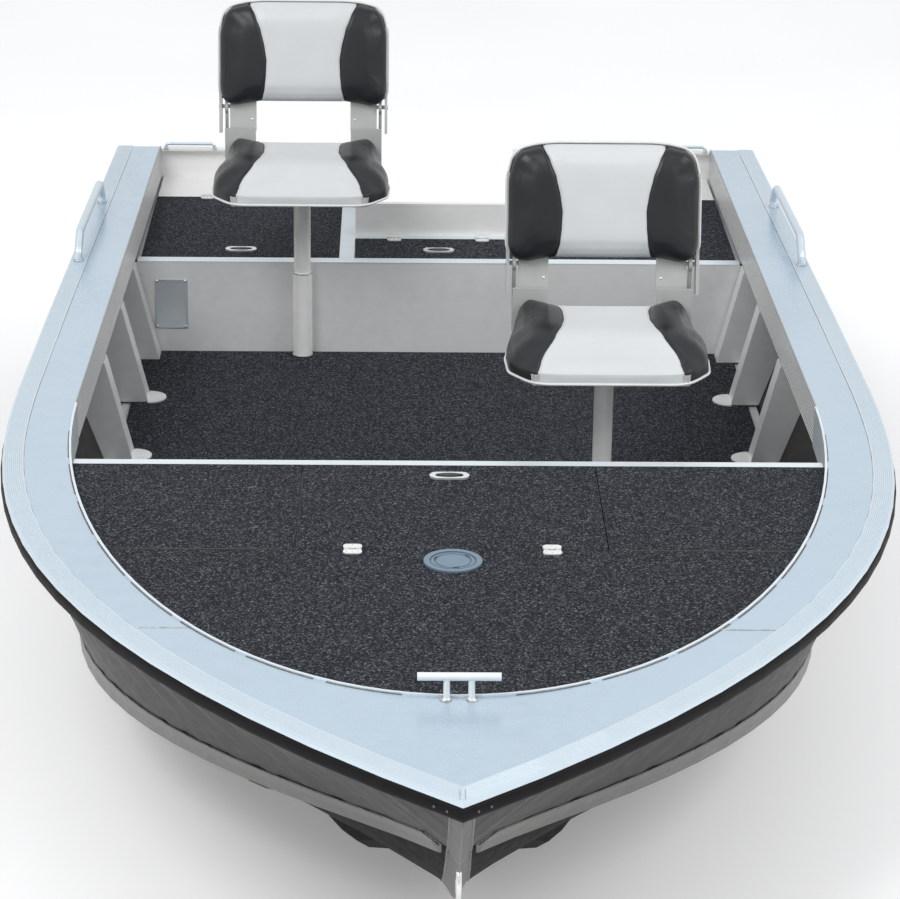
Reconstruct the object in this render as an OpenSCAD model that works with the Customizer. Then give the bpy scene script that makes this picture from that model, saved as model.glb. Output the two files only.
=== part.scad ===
// Open aluminium fishing boat with a carpeted foredeck, an aft bench and two folding seats.
// The bow points to -Y, +Z is up and the origin is amidships on the centreline at the waterline.
// A station is a distance aft of the bow tip.

/* [Hull] */
// Length from the bow tip to the transom
loa = 4200; // [3900:10:4600]
// Greatest beam over the gunwale rails
beam = 1930; // [1860:10:2060]
// Beam over the rails at the transom
stern_beam = 1850; // [1800:10:1900]
// Station where the bow curve runs out into the straight side
bow_len = 2050; // [1990:10:2200]
// Fullness of the bow curve, as an exponent
bow_power = 2.63; // [2.4:0.01:2.9]
// Depth from the gunwale top to the keel line
hull_depth = 620; // [600:5:680]
// Draught of the empty boat
draught = 120; // [100:5:140]
// Station where the keel line levels out
forefoot_len = 1200; // [1100:10:1300]
// Roundness of the forefoot, as an exponent
forefoot_power = 2.12; // [1.9:0.01:2.4]
// Beam at the chines
chine_beam = 1590; // [1560:10:1620]
// Depth of the chine below the gunwale amidships
chine_depth = 420; // [410:5:450]
// Depth of the chine below the gunwale at the stem
chine_bow_depth = 205; // [190:5:220]
// Station where the chine leaves the stem
chine_start = 215; // [205:1:225]
// Length of the curved part of the chine
chine_len = 1600; // [1500:10:1700]
// Thickness of the hull plates
plate_t = 3; // [2.5:0.1:4]
// Height of the chine rail up the side
chine_rail_h = 38; // [30:1:45]
// Reach of the chine rail out from the side
chine_rail_out = 15; // [12:1:20]
// Depth of the ribs pressed into the bottom
rib_h = 22; // [12:1:26]
// Width of the stem and keel bar
stem_w = 12; // [10:0.5:16]
// Depth of the stem and keel bar
stem_d = 18; // [14:1:24]

/* [Gunwale] */
// Width of the ribbed outer rail
rail_w = 45; // [38:1:50]
// Thickness of the rail's top flange
rail_t = 5; // [4:0.5:6]
// Height of the rail's web behind the fender
rail_web = 40; // [36:1:46]
// Depth of the grooves along the rail
groove_d = 1; // [0.6:0.1:1.4]
// Height of the rubber fender
fender_h = 27; // [22:1:28]
// How far the fender stands out past the rail
fender_out = 4; // [2:0.5:6]
// Thickness of the deck plates
deck_t = 4; // [3:0.5:5]
// Height of the ribbed inner face of the gunwale
coaming_h = 90; // [80:1:100]
// Thickness of the inner face
coaming_t = 3; // [2.5:0.5:4]
// Half width of the well at its widest
well_half = 822; // [810:1:830]
// Half width of the well at the transom
well_stern_half = 797; // [790:1:805]
// Station of the forward end of the foredeck carpet
well_start = 415; // [400:5:440]
// Length of the curved front of the well
well_curve = 1535; // [1480:5:1560]
// Width of the upright lip round the foredeck
lip_t = 5; // [4:0.5:6]
// Height of the lip above the deck plates
lip_up = 4; // [3:0.5:6]
// Station of the weld between the bow plate and the side decks
bow_seam = 710; // [690:5:760]

/* [Foredeck] */
// Station of the aft edge of the foredeck
foredeck_end = 1630; // [1600:5:1660]
// Depth of the foredeck carpet below the gunwale top
foredeck_drop = 12; // [10:1:20]
// Thickness of a carpeted panel
panel_t = 12; // [10:0.5:15]
// Width of the aluminium angle on the foredeck edge
edge_w = 24; // [20:1:30]
// Half width of the hatch lid
hatch_half = 310; // [280:5:340]
// Station of the hatch hinge line
hatch_hinge = 1128; // [1110:1:1150]
// Gap round each lid
lid_gap = 2; // [1.5:0.5:4]
// Station of the round access plate
access_at = 1066; // [1050:1:1068]
// Outer diameter of the round access plate
access_d = 116; // [100:1:118]
// Distance between the two hatch hinges
hinge_span = 396; // [360:2:430]

/* [Cockpit] */
// Depth of the cockpit carpet below the gunwale top
floor_drop = 340; // [330:5:350]
// Length of the aft bench, from its front face to the transom's outside
bench_len = 855; // [820:5:900]
// Depth of the bench top below the gunwale top
bench_drop = 90; // [86:1:100]
// Width of the flat strips that frame the bench top
strip_w = 40; // [34:1:46]
// Length of the motor well, from its front wall to the transom's outside
motor_well_len = 600; // [560:5:620]
// Half width of the motor well and of the transom notch
notch_half = 226; // [210:1:236]
// Depth of the transom notch below the gunwale top
notch_depth = 240; // [225:5:255]
// Length of the fixed shelves behind the side lids
shelf_len = 220; // [180:5:260]
// Width of a side frame
frame_w = 65; // [55:1:75]
// Radius of a side frame's foot plate
foot_r = 44; // [38:1:50]

/* [Seats] */
// Distance of each seat post from the centreline
seat_x = 363; // [340:1:380]
// Outer diameter of a seat post
post_d = 44.5; // [42:0.5:48]
// Wall of a seat post
post_wall = 2.6; // [2:0.1:4]
// Wall of the sleeve and socket round a post
sleeve_wall = 3; // [2.5:0.1:5]
// Distance of the front seat's post behind the foredeck
front_seat_back = 510; // [470:5:570]
// Height of the front seat's pan above the gunwale top
front_seat_up = 60; // [50:5:90]
// Height of the rear seat's pan above the gunwale top
rear_seat_up = 132; // [110:2:160]
// Width of a seat
seat_w = 450; // [430:2:470]
// Reach of the seat in front of its post
seat_front = 225; // [210:1:240]
// Reach of the seat cushion behind its post
seat_back = 138; // [130:1:140]
// Height of the top of the seat cushion above the pan
cushion_top = 98; // [90:1:100]
// Height of the back's hinge pin above the pan
fold_z = 165; // [160:1:172]
// Distance of the back's hinge pin behind the post
fold_y = 172; // [168:1:178]
// Height of the top of the backrest above the pan, before it leans
back_top = 444; // [434:1:452]
// Lean of the backrest, in degrees
recline = 12; // [9:1:15]
// Bottom of the back cushion above the pan
back_low = 186; // [184:1:192]
// Diameter of the back's hinge pins
pin_d = 10; // [8:0.5:12]
// Running clearance round a hinge pin
pin_fit = 0.05; // [0.02:0.01:0.1]

/* [Fittings] */
// Diameter of the side grab handles
handle_d = 21; // [18:1:24]
// Height of the side grab handles
handle_h = 75; // [65:1:85]
// Distance from the forward foot of a side grab handle to the transom's outside
handle_back = 1150; // [1120:5:1200]
// Distance between the feet of a side grab handle
handle_span = 545; // [500:5:600]
// Length of the cleat's bar
cleat_w = 148; // [130:1:160]
// Height of the cleat
cleat_h = 52; // [45:1:60]
// Diameter of the cleat's bar
cleat_d = 15; // [12:0.5:18]
// Diameter of the bow eye's rod
eye_d = 10; // [8:0.5:12]

/* [Hidden] */

// Clearance between pieces that are welded, glued or laid face to face
fit = 0.3;
gunwale = hull_depth - draught;
keel_z = -draught;
chine_end = chine_start + chine_len;
well_mid = well_start + well_curve;
transom_t = 4;
stern = loa - transom_t - fit;
bench_at = loa - bench_len;
motor_well_at = loa - motor_well_len;
side_lid_end = loa - shelf_len;
front_seat_at = foredeck_end + front_seat_back;
handle_at = loa - handle_back;

// Straight-sided part of the plan, aft of the bow curve
side_taper = (beam - stern_beam) / 2;

// Half width of the rail's outer edge at a station, and its slope
function rail_half(s) = s < bow_len
  ? beam / 2 * (1 - pow(1 - s / bow_len, bow_power))
  : beam / 2 - side_taper * pow((s - bow_len) / (loa - bow_len), 1.2);
function rail_slope(s) = (rail_half(s + 1) - rail_half(s - 1)) / 2;

// Half width of a line parallel to the rail's edge, set in from it
function edge(s, inset) = rail_half(s) - inset * sqrt(1 + pow(rail_slope(s), 2));

// Station where such a line meets the centreline, found by halving
search_from = -60;
search_to = 400;
function edge_start(inset, lo = search_from, hi = search_to, n = 24) =
  n == 0 ? (lo + hi) / 2
  : edge((lo + hi) / 2, inset) > 0 ? edge_start(inset, lo, (lo + hi) / 2, n - 1)
  : edge_start(inset, (lo + hi) / 2, hi, n - 1);

// Plan line of the port side parallel to the rail, from its mitre to the transom
sheer_n = 18;
sweep_steps = concat([for (i = [0 : sheer_n]) 0.49 * i / sheer_n], [0.62, 0.8, 1]);
function sheer_line(inset) = let (first = edge_start(inset))
  [for (t = sweep_steps) let (s = first + (loa - first) * t) [t == 0 ? 0 : edge(s, inset), s]];

// Half width of a plan line at a station, and the part of it between two stations
function across(line, s) = let (i = max([for (k = [0 : len(line) - 2]) if (k == 0 || line[k][1] <= s) k]),
  a = line[i], b = line[i + 1]) a[0] + (b[0] - a[0]) * (s - a[1]) / (b[1] - a[1]);
function part_of(line, from, to) = let (first = max(from, line[0][1])) concat(
  [[across(line, first), first]],
  [for (p = line) if (p[1] > first + 1 && p[1] < to - 1) p],
  [[across(line, to), to]]
);

// Height of the stem and keel line, and of the chine, at a station
function keel_at(s) = s >= forefoot_len ? keel_z
  : gunwale - hull_depth * (1 - pow(1 - s / forefoot_len, forefoot_power));
chine_run = 1835;
function chine_at(s) = let (u = min(1, max(0, (s - chine_start) / chine_run)))
  gunwale - chine_bow_depth - (chine_depth - chine_bow_depth) * (1 - pow(1 - u, 2));
function chine_half(s) = let (u = min(1, max(0, (s - chine_start) / chine_len)))
  stem_w / 2 + (chine_beam - stem_w) / 2 * pow(1 - pow(1 - u, 2.2), 1.35);

// The side runs from the chine, or the stem forward of it, up to the rail
side_inset = 12 + fit;
side_top = gunwale - deck_t - fit;
function side_low(s) = s < chine_start
  ? [stem_w / 2 + fit, keel_at(s)]
  : [chine_half(s) + fit, chine_at(s)];
side_line = sheer_line(side_inset);
function side_high(s) = [across(side_line, s), side_top];
function side_unit(s) = let (d = side_high(s) - side_low(s)) d / norm(d);
function side_point(s, up, out) = let (u = side_unit(s)) side_low(s) + up * u + out * [u[1], -u[0]];

// Plan line of the well: half an ellipse forward, then straight to the transom
function well_point(q, out) = let (
  p = [well_half * sin(q), well_mid - well_curve * cos(q)],
  n = [sin(q) / well_half, -cos(q) / well_curve]
) p + out * n / norm(n);
function well_line(out) = concat([for (q = [0 : 3 : 90]) well_point(q, out)], [[well_stern_half + out, loa]]);
function well_edge(s, out) = s > well_mid
  ? well_half - (well_half - well_stern_half) * (s - well_mid) / (loa - well_mid) + out
  : well_half * sqrt(1 - pow((well_mid - s) / well_curve, 2)) + out;

// Moves plan shapes drawn by station to the boat's own frame
module by_station() translate([0, -loa / 2, 0]) children();
module starboard() mirror([1, 0, 0]) children();

// Points in reverse, and mirrored to starboard
function reversed(line) = [for (i = [len(line) - 1 : -1 : 0]) line[i]];
function mirrored(line) = [for (p = reversed(line)) if (p[0] > 0.01) [-p[0], p[1]]];

// Plan points of the port side of the well's edge, between two stations
function well_side(out, from, to) = part_of(well_line(out), from, to);

// A closed slab between two grids of points with the same rows and columns
module slab(face_a, face_b) {
  rows = len(face_a);
  cols = len(face_a[0]);
  n = rows * cols;
  points = concat([for (r = face_a) each r], [for (r = face_b) each r]);
  skin = [for (i = [0 : rows - 2], j = [0 : cols - 2])
    let (a = i * cols + j, b = a + 1, c = a + cols, d = c + 1) each [[a, c, b], [b, c, d]]];
  back = [for (f = skin) [f[0] + n, f[2] + n, f[1] + n]];
  rim = concat(
    [for (j = [0 : cols - 2]) j],
    [for (i = [0 : rows - 2]) i * cols + cols - 1],
    [for (j = [cols - 1 : -1 : 1]) (rows - 1) * cols + j],
    [for (i = [rows - 1 : -1 : 1]) i * cols]
  );
  m = len(rim);
  wall = [for (k = [0 : m - 1]) let (a = rim[k], b = rim[(k + 1) % m]) each [[a, b, a + n], [b, b + n, a + n]]];
  polyhedron(points, concat(skin, back, wall), convexity = 8);
}

// A closed bar swept through rings of points with the same count
module swept(rings) {
  rows = len(rings);
  cols = len(rings[0]);
  sides = [for (i = [0 : rows - 2], j = [0 : cols - 1])
    let (a = i * cols + j, b = i * cols + (j + 1) % cols, c = a + cols, d = b + cols)
    each [[a, c, b], [b, c, d]]];
  first = [for (j = [0 : cols - 1]) j];
  last = [for (j = [cols - 1 : -1 : 0]) (rows - 1) * cols + j];
  polyhedron([for (r = rings) each r], concat(sides, [first, last]), convexity = 8);
}

// A profile of inset and height pairs swept along the sheer from the mitre at the tip
module sheer_sweep(profile) {
  lines = [for (p = profile) sheer_line(p[0])];
  swept([for (k = [0 : len(sweep_steps) - 1]) [for (i = [len(profile) - 1 : -1 : 0])
    [lines[i][k][0], lines[i][k][1], profile[i][1]]]]);
}

// Ribbed outer rail: top flange with grooves, a rolled edge and a web behind the fender
roll_w = 6;
roll_h = 10;
web_in = 8;
web_t = 4;
grooves = 9;
groove_w = 1.2;
rail_top = gunwale - deck_t + rail_t;
module rail_port() color("lightsteelblue") by_station() {
  low = gunwale - deck_t;
  pitch = (rail_w - roll_w) / (grooves + 0.5);
  ribs = [for (k = [0 : grooves - 1]) let (x = roll_w + pitch * k) each [
    [x, rail_top], [x + groove_w / 2, rail_top - groove_d], [x + groove_w, rail_top - groove_d],
    [x + groove_w * 1.5, rail_top]]];
  sheer_sweep(concat(
    [[0, gunwale - roll_h], [0, rail_top - 3], [1, rail_top - 1], [3, rail_top]], ribs,
    [[rail_w, rail_top], [rail_w, low], [web_in + web_t, low], [web_in + web_t, gunwale - rail_web],
    [web_in, gunwale - rail_web], [web_in, low], [roll_w, low], [roll_w, gunwale - roll_h]]));
}
module rail_starboard() starboard() rail_port();

// Rubber fender under the rolled edge, proud and rounded
fender_fit = 0.5;
module fender_port() color("black") by_station() {
  high = gunwale - roll_h - fender_fit;
  low = high - fender_h;
  inner = web_in - fender_fit;
  sheer_sweep([[inner, low], [1, low], [-fender_out * 0.6, low + 4], [-fender_out, low + fender_h * 0.35],
    [-fender_out, high - fender_h * 0.35], [-fender_out * 0.6, high - 4], [1, high], [inner, high]]);
}
module fender_starboard() starboard() fender_port();

// Flat deck plates between the rail and the well
deck_out = rail_w + fit;
deck_in = lip_t + fit;
module side_deck_port() color("lightsteelblue") by_station() {
  from = bow_seam + fit;
  translate([0, 0, gunwale - deck_t]) linear_extrude(deck_t)
    polygon(concat(part_of(sheer_line(deck_out), from, stern), reversed(well_side(deck_in, from, stern))));
}
module side_deck_starboard() starboard() side_deck_port();
module bow_plate() color("lightsteelblue") by_station() {
  outer = part_of(sheer_line(deck_out), 0, bow_seam);
  inner = well_side(deck_in, 0, bow_seam);
  translate([0, 0, gunwale - deck_t]) linear_extrude(deck_t)
    polygon(concat(mirrored(outer), outer, reversed(inner), reversed(mirrored(inner))));
}

// Upright lip round the curved front of the well
module deck_lip() color("white") by_station() {
  outer = well_side(lip_t, 0, well_mid - fit);
  inner = well_side(0, 0, well_mid - fit);
  translate([0, 0, gunwale - coaming_h]) linear_extrude(coaming_h + lip_up)
    polygon(concat(mirrored(outer), outer, reversed(inner), reversed(mirrored(inner))));
}

// Ribbed inner face of the gunwale along the cockpit
coaming_ribs = 10;
module coaming() by_station() {
  low = gunwale - coaming_h;
  pitch = coaming_h / coaming_ribs;
  ribs = [for (k = [0 : coaming_ribs - 1]) let (z = low + pitch * k) each [
    [lip_t - coaming_t, z + 2], [1, z + 3], [1, z + pitch - 3], [lip_t - coaming_t, z + pitch - 2]]];
  profile = concat([[lip_t, gunwale + 2], [lip_t, low], [lip_t - coaming_t, low]], ribs,
    [[lip_t - coaming_t, gunwale + 2]]);
  from = [well_edge(well_mid + fit, 0), well_mid + fit];
  to = [well_edge(stern, 0), stern];
  run = to - from;
  translate(to) rotate([90, 0, -atan2(run[0], run[1])]) linear_extrude(norm(run)) polygon(profile);
}
module coamings() color("silver") {
  coaming();
  starboard() coaming();
}

// Hull side, a slab between the chine and the rail
stem_side = stem_w / 2 + fit;
hull_first = side_line[0][1] + (side_line[1][1] - side_line[0][1]) * stem_side / side_line[1][0];
function hull_stations(first) = concat(
  [for (i = [0 : 16]) first + (chine_end - first) * i / 16],
  [for (i = [1 : 6]) chine_end + (stern - chine_end) * i / 6]
);
chine_rail_first = chine_start + 53;
side_stations = concat(
  [for (i = [0 : 4]) hull_first + (chine_start - hull_first) * i / 4],
  [chine_start + 25],
  hull_stations(chine_rail_first)
);
function side_thick(s) = plate_t * sqrt(1 + pow(rail_slope(s), 2));
function side_inner(s, p) = let (u = side_unit(s), x = p[0] - side_thick(s))
  x > stem_side ? [x, p[1]] : [stem_side, p[1] + (stem_side - x) * u[1] / u[0]];
module side_plate_port() color("dimgray") by_station() {
  rows = [for (s = side_stations) [side_high(s), s < chine_start ? side_low(s) : side_point(s, plate_t + 2 * fit, 0)]];
  outer = [for (i = [0 : len(rows) - 1]) [for (p = rows[i]) [p[0], side_stations[i], p[1]]]];
  inner = [for (i = [0 : len(rows) - 1]) let (s = side_stations[i])
    [for (p = rows[i]) let (q = side_inner(s, p)) [q[0], s, min(q[1], side_top)]]];
  slab(outer, inner);
}
module side_plate_starboard() starboard() side_plate_port();

// Half width inside the side plate at a station and height
function inner_at(s, z) = let (a = side_low(s), b = side_high(s))
  a[0] + (b[0] - a[0]) * (z - a[1]) / (b[1] - a[1]) - side_thick(s);
function inside_half(s, z) = let (
  i = max([for (k = [0 : len(side_stations) - 2]) if (side_stations[k] <= s) k]),
  a = side_stations[i], b = side_stations[i + 1], t = (s - a) / (b - a)
) inner_at(a, z) * (1 - t) + inner_at(b, z) * t - 2 * fit;

// Hull bottom with two pressed ribs a side: share of the width, and station of the nose
RIBS = [[0.40, 700], [0.70, 860]];
rib_share = 0.055;
rib_flat = 0.03;
function rib_swell(s, nose) = let (u = min(1, max(0, (s - nose) / 90))) rib_h * sqrt(1 - pow(1 - u, 2));
function bottom_point(s, f, out) = let (
  a = [stem_side, keel_at(s)], b = [chine_half(s) + fit, chine_at(s)],
  d = b - a, n = [d[1], -d[0]] / max(1, norm(d))
) a + f * d + out * n;
function bottom_row(s, up) = concat(
  [bottom_point(s, 0, -up)],
  [for (r = RIBS, k = [-1, 1]) each let (h = rib_swell(s, r[1]), near = r[0] + k * rib_share,
    flat = r[0] + k * rib_flat) k < 0
      ? [bottom_point(s, near, -up), bottom_point(s, flat, h - up)]
      : [bottom_point(s, flat, h - up), bottom_point(s, near, -up)]],
  [bottom_point(s, 1, -up)]
);
bottom_stations = concat([chine_start + 25], hull_stations(chine_rail_first));
module bottom_plate_port() color("dimgray") by_station() {
  outer = [for (s = bottom_stations) [for (p = bottom_row(s, 0)) [p[0], s, p[1]]]];
  inner = [for (s = bottom_stations) let (row = bottom_row(s, plate_t), d = bottom_point(s, 1, 0) - bottom_point(s, 0, 0))
    [for (i = [0 : len(row) - 1]) i == 0
      ? [stem_side, s, keel_at(s) + plate_t * norm(d) / d[0]]
      : [row[i][0], s, row[i][1]]]];
  slab(inner, outer);
}
module bottom_plate_starboard() starboard() bottom_plate_port();

// Folded rail along the chine, with a lip that throws the spray out
module chine_rail_port() color("gray") by_station() {
  h = chine_rail_h;
  o = chine_rail_out;
  section = [[2, fit], [h, fit], [h, 3.5], [h * 0.45, o * 0.5], [-4, o], [-8, o - 3]];
  swept([for (s = hull_stations(chine_rail_first))
    [for (p = section) let (q = side_point(s, p[0], p[1])) [q[0], s, q[1]]]]);
}
module chine_rail_starboard() starboard() chine_rail_port();

// Stem and keel bar along the centreline
function stem_station(depth) = forefoot_len * (1 - pow(1 - depth / hull_depth, 1 / forefoot_power));
stem_first = stem_station(rail_web + 2);
stem_stations = concat(
  [for (i = [0 : 12]) stem_first + (forefoot_len - stem_first) * pow(i / 12, 1.2)], [stern]
);
module stem_bar() color("gray") by_station() {
  half = stem_w / 2;
  rings = [for (s = stem_stations) let (
    d = [1, keel_at(s + 1) - keel_at(s)] / norm([1, keel_at(s + 1) - keel_at(s)]),
    out = [d[1], -d[0]], z = keel_at(s)
  ) [for (p = [[-half, -2], [half, -2], [half, stem_d * 0.7], [half * 0.4, stem_d],
      [-half * 0.4, stem_d], [-half, stem_d * 0.7]]) [p[0], s + out[0] * p[1], z + out[1] * p[1]]]];
  swept(rings);
}

// A round rod bent in the XZ plane through a list of corners
function unit(v) = v / norm(v);
function turn_at(p, i) = let (u = unit(p[i] - p[i - 1]), v = unit(p[i + 1] - p[i]))
  atan2(u[0] * v[1] - u[1] * v[0], u * v);
function bend_cut(p, i, r) = i == 0 || i == len(p) - 1 ? 0 : r * tan(abs(turn_at(p, i)) / 2);
bend_steps = 4;
function turned(u, q) = [u[0] * cos(q) - u[1] * sin(q), u[0] * sin(q) + u[1] * cos(q)];
function bend_points(p, i, r) = let (
  u = unit(p[i] - p[i - 1]), turn = turn_at(p, i), side = sign(turn),
  middle = p[i] - u * bend_cut(p, i, r) + side * r * [-u[1], u[0]],
  spoke = side * r * [u[1], -u[0]]
) [for (j = [0 : bend_steps]) let (q = turn * j / bend_steps) [middle + turned(spoke, q), turned(u, q)]];
module bent_rod(p, r, d, sides) {
  last = len(p) - 1;
  path = concat([[p[0], unit(p[1] - p[0])]], [for (i = [1 : last - 1]) each bend_points(p, i, r)],
    [[p[last], unit(p[last] - p[last - 1])]]);
  swept([for (q = path) [for (k = [sides - 1 : -1 : 0]) let (a = 360 * k / sides, n = [-q[1][1], q[1][0]])
    [q[0][0] + n[0] * cos(a) * d / 2, sin(a) * d / 2, q[0][1] + n[1] * cos(a) * d / 2]]]);
}

// Rod bent to a U on the stem, to hook a winch or tow line to
eye_depth = 258;
eye_r = 33;
eye_leg = 6;
eye_at = stem_station(eye_depth);
eye_slope = keel_at(eye_at + 1) - keel_at(eye_at);
module bow_eye() color("silver") by_station()
  translate([0, eye_at, keel_at(eye_at)]) rotate([90 + atan(eye_slope), 0, 0])
  translate([0, -stem_d - eye_leg + fit, 0]) {
    rotate([0, 90, 0]) rotate([0, 0, 180]) rotate_extrude(angle = 180, $fn = 64)
      translate([eye_r, 0]) circle(d = eye_d, $fn = 32);
    for (k = [-1, 1]) translate([0, 0, k * eye_r]) rotate([-90, 0, 0]) cylinder(d = eye_d, h = eye_leg, $fn = 32);
  }

// Transom plate with its motor notch and capping strips
cap_w = 30;
cap_lap = 2;
module transom() color("silver") {
  s = stern;
  half = [[0, keel_z], [chine_half(s), chine_at(s)], [edge(s, side_inset), side_top]];
  translate([0, loa / 2, 0]) rotate([90, 0, 0]) linear_extrude(transom_t) difference() {
    polygon(concat(half, [for (i = [2 : -1 : 1]) [-half[i][0], half[i][1]]]));
    translate([-notch_half, gunwale - notch_depth]) square([2 * notch_half, hull_depth]);
  }
  cap_half = well_edge(loa, -2);
  for (k = [-1, 1]) translate([k > 0 ? notch_half + fit : -cap_half, loa / 2 - cap_w, side_top - cap_lap])
    cube([cap_half - notch_half - fit, cap_w, deck_t + cap_lap]);
}

// Motor pads inside and outside the transom below the notch
pad_half = 190;
pad_h = 200;
pad_t = 16;
module motor_pads() color("gray") for (y = [loa / 2 + fit, loa / 2 - transom_t - fit - pad_t])
  translate([-pad_half, y, gunwale - notch_depth - pad_h]) cube([2 * pad_half, pad_t, pad_h]);

// Self-draining motor well: front wall, two sides and a floor
sheet = 3;
well_flange = 22;
module motor_well() color("silver") by_station() {
  w = notch_half;
  translate([-w, motor_well_at, gunwale - notch_depth + fit]) difference() {
    cube([2 * w, stern - motor_well_at, notch_depth - fit]);
    translate([sheet, sheet, sheet]) cube([2 * (w - sheet), loa, notch_depth]);
  }
  translate([-w, motor_well_at, gunwale - sheet]) cube([2 * w, well_flange, sheet]);
}

// Pressed side frames: two flanges out to the hull side, a face and a round foot
FRAMES = [foredeck_end + 870, bench_at - 415, bench_at - 75];
frame_lean = 62;
module side_frame(s, foot) {
  z_low = gunwale - floor_drop;
  z_high = gunwale - coaming_h - fit;
  x_high = well_edge(s, -2);
  x_low = x_high - frame_lean;
  out_low = min(inside_half(s, z_low), inside_half(s + frame_w, z_low)) - 0.5;
  out_high = min(inside_half(s, z_high), inside_half(s + frame_w, z_high)) - 0.5;
  web = [[x_low, z_low], [x_high, z_high], [x_high + sheet, z_high], [x_low + sheet, z_low]];
  flange = [[x_low, z_low], [x_high, z_high], [out_high, z_high], [out_low, z_low]];
  translate([0, s + frame_w, 0]) rotate([90, 0, 0]) linear_extrude(frame_w) polygon(web);
  for (y = [s + sheet, s + frame_w]) translate([0, y, 0]) rotate([90, 0, 0])
    linear_extrude(sheet) polygon(flange);
  if (foot) intersection() {
    translate([x_low, s + frame_w / 2, z_low]) cylinder(r = foot_r, h = sheet, $fn = 48);
    translate([x_low - foot_r, s - foot_r, z_low]) cube([foot_r + 1, 3 * foot_r, sheet]);
  }
}
module side_frames() color("silver") for (k = [0, 1]) mirror([k, 0, 0]) by_station()
  for (s = FRAMES) side_frame(s, s < bench_at - foot_r - frame_w);

// Cockpit floor panel and its carpet
carpet_t = 6;
floor_t = 4;
floor_top = gunwale - floor_drop;
panel_z = floor_top - carpet_t - floor_t;
floor_start = 1040;
module floor_area(from, to, z, gap) {
  half = [for (i = [0 : 8]) let (s = from + (to - from) * i / 8) [inside_half(s, z) - gap, s]];
  polygon(concat(half, [for (p = reversed(half)) [-p[0], p[1]]]));
}
module floor_panel() color("silver") by_station()
  translate([0, 0, panel_z]) linear_extrude(floor_t) floor_area(floor_start, loa - transom_t - pad_t - 3 * fit, panel_z, 2);
carpet_gap = 25;
module floor_carpet() color("#2b2c30") by_station()
  translate([0, 0, floor_top - carpet_t + fit]) linear_extrude(carpet_t - 2 * fit)
    floor_area(foredeck_end + sheet + 1, bench_at - 1, panel_z, carpet_gap);

// Bulkhead under the aft edge of the foredeck, and the angle that caps it
deck_z = gunwale - foredeck_drop;
module foredeck_bulkhead() by_station() {
  z = [floor_top - carpet_t + fit, gunwale - coaming_h - fit, deck_z - panel_t - 25];
  x = [inside_half(foredeck_end, z[0]) - 2, inside_half(foredeck_end, z[1]) - 2, well_edge(foredeck_end, -3)];
  half = [[x[0], z[0]], [x[1], z[1]], [x[2], z[1]], [x[2], z[2]]];
  translate([0, foredeck_end + sheet, 0]) rotate([90, 0, 0]) linear_extrude(sheet)
    polygon(concat(half, [for (p = reversed(half)) [-p[0], p[1]]]));
}
module foredeck_angle() color("white") by_station() {
  x = well_edge(foredeck_end - edge_w, -3);
  translate([-x, foredeck_end - edge_w, deck_z - sheet]) cube([2 * x, edge_w + sheet, sheet]);
  translate([-x, foredeck_end + sheet - sheet, deck_z - panel_t - 25 + fit])
    cube([2 * x, sheet, panel_t + 25 - sheet]);
}

// Carpeted foredeck with its hatch opening and the hole under the access plate
foredeck_aft = foredeck_end - edge_w - 1;
foredeck_side = well_side(-fit, 0, foredeck_aft);
module foredeck() color("#2b2c30") by_station() difference() {
  translate([0, 0, deck_z - panel_t]) linear_extrude(panel_t)
    polygon(concat(foredeck_side, mirrored(foredeck_side)));
  translate([-hatch_half - lid_gap, hatch_hinge, deck_z - panel_t - 1])
    cube([2 * (hatch_half + lid_gap), loa, panel_t + 2]);
  translate([0, access_at, deck_z - panel_t - 1]) cylinder(d = access_d - 20, h = panel_t + 2, $fn = 64);
  for (k = [-1, 1]) translate([k > 0 ? hatch_half + 20 : -well_half, hatch_hinge, deck_z - 2])
    cube([well_half - hatch_half - 20, 1.5, 4]);
}

// Gutter frame that carries the hatch lid on three sides
gutter_w = 40;
hatch_lap = 12;
module hatch_frame() color("silver") by_station() difference() {
  translate([-hatch_half - gutter_w / 2, hatch_hinge - hatch_lap, deck_z - panel_t - fit - sheet])
    cube([2 * hatch_half + gutter_w, foredeck_end - fit - hatch_hinge + hatch_lap, sheet]);
  translate([-hatch_half + gutter_w / 2, hatch_hinge + gutter_w / 2, 0])
    cube([2 * hatch_half - gutter_w, foredeck_end - hatch_hinge - gutter_w, loa]);
}

// Hatch lid, its latch and the two halves of its hinges
latch_l = 84;
latch_w = 38;
module slot_area(l, w) {
  square([l - w, w], center = true);
  for (x = [-1, 1]) translate([x * (l - w) / 2, 0]) circle(d = w, $fn = 32);
}
latch_at = foredeck_aft - 68;
module latch_cut(z) translate([0, 0, z - 8]) linear_extrude(20) slot_area(latch_l - 18, latch_w - 12);
module hatch_lid() color("#2b2c30") by_station() difference() {
  translate([-hatch_half, hatch_hinge + lid_gap, deck_z - panel_t])
    cube([2 * hatch_half, foredeck_aft - hatch_hinge - lid_gap, panel_t]);
  translate([0, latch_at, 0]) latch_cut(deck_z);
}
module latch(z) color("silver") {
  translate([0, 0, z + fit]) linear_extrude(4) difference() {
    slot_area(latch_l, latch_w);
    slot_area(latch_l - 24, latch_w - 18);
  }
  translate([0, 0, z - 7]) linear_extrude(4) slot_area(latch_l - 19, latch_w - 13);
  translate([0, 0, z - 7]) linear_extrude(9) difference() {
    slot_area(latch_l - 19, latch_w - 13);
    slot_area(latch_l - 24, latch_w - 18);
  }
  translate([-10, -1.5, z - 6]) cube([20, 3, 5]);
}
module hatch_latch() by_station() translate([0, latch_at, 0]) latch(deck_z);

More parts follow.
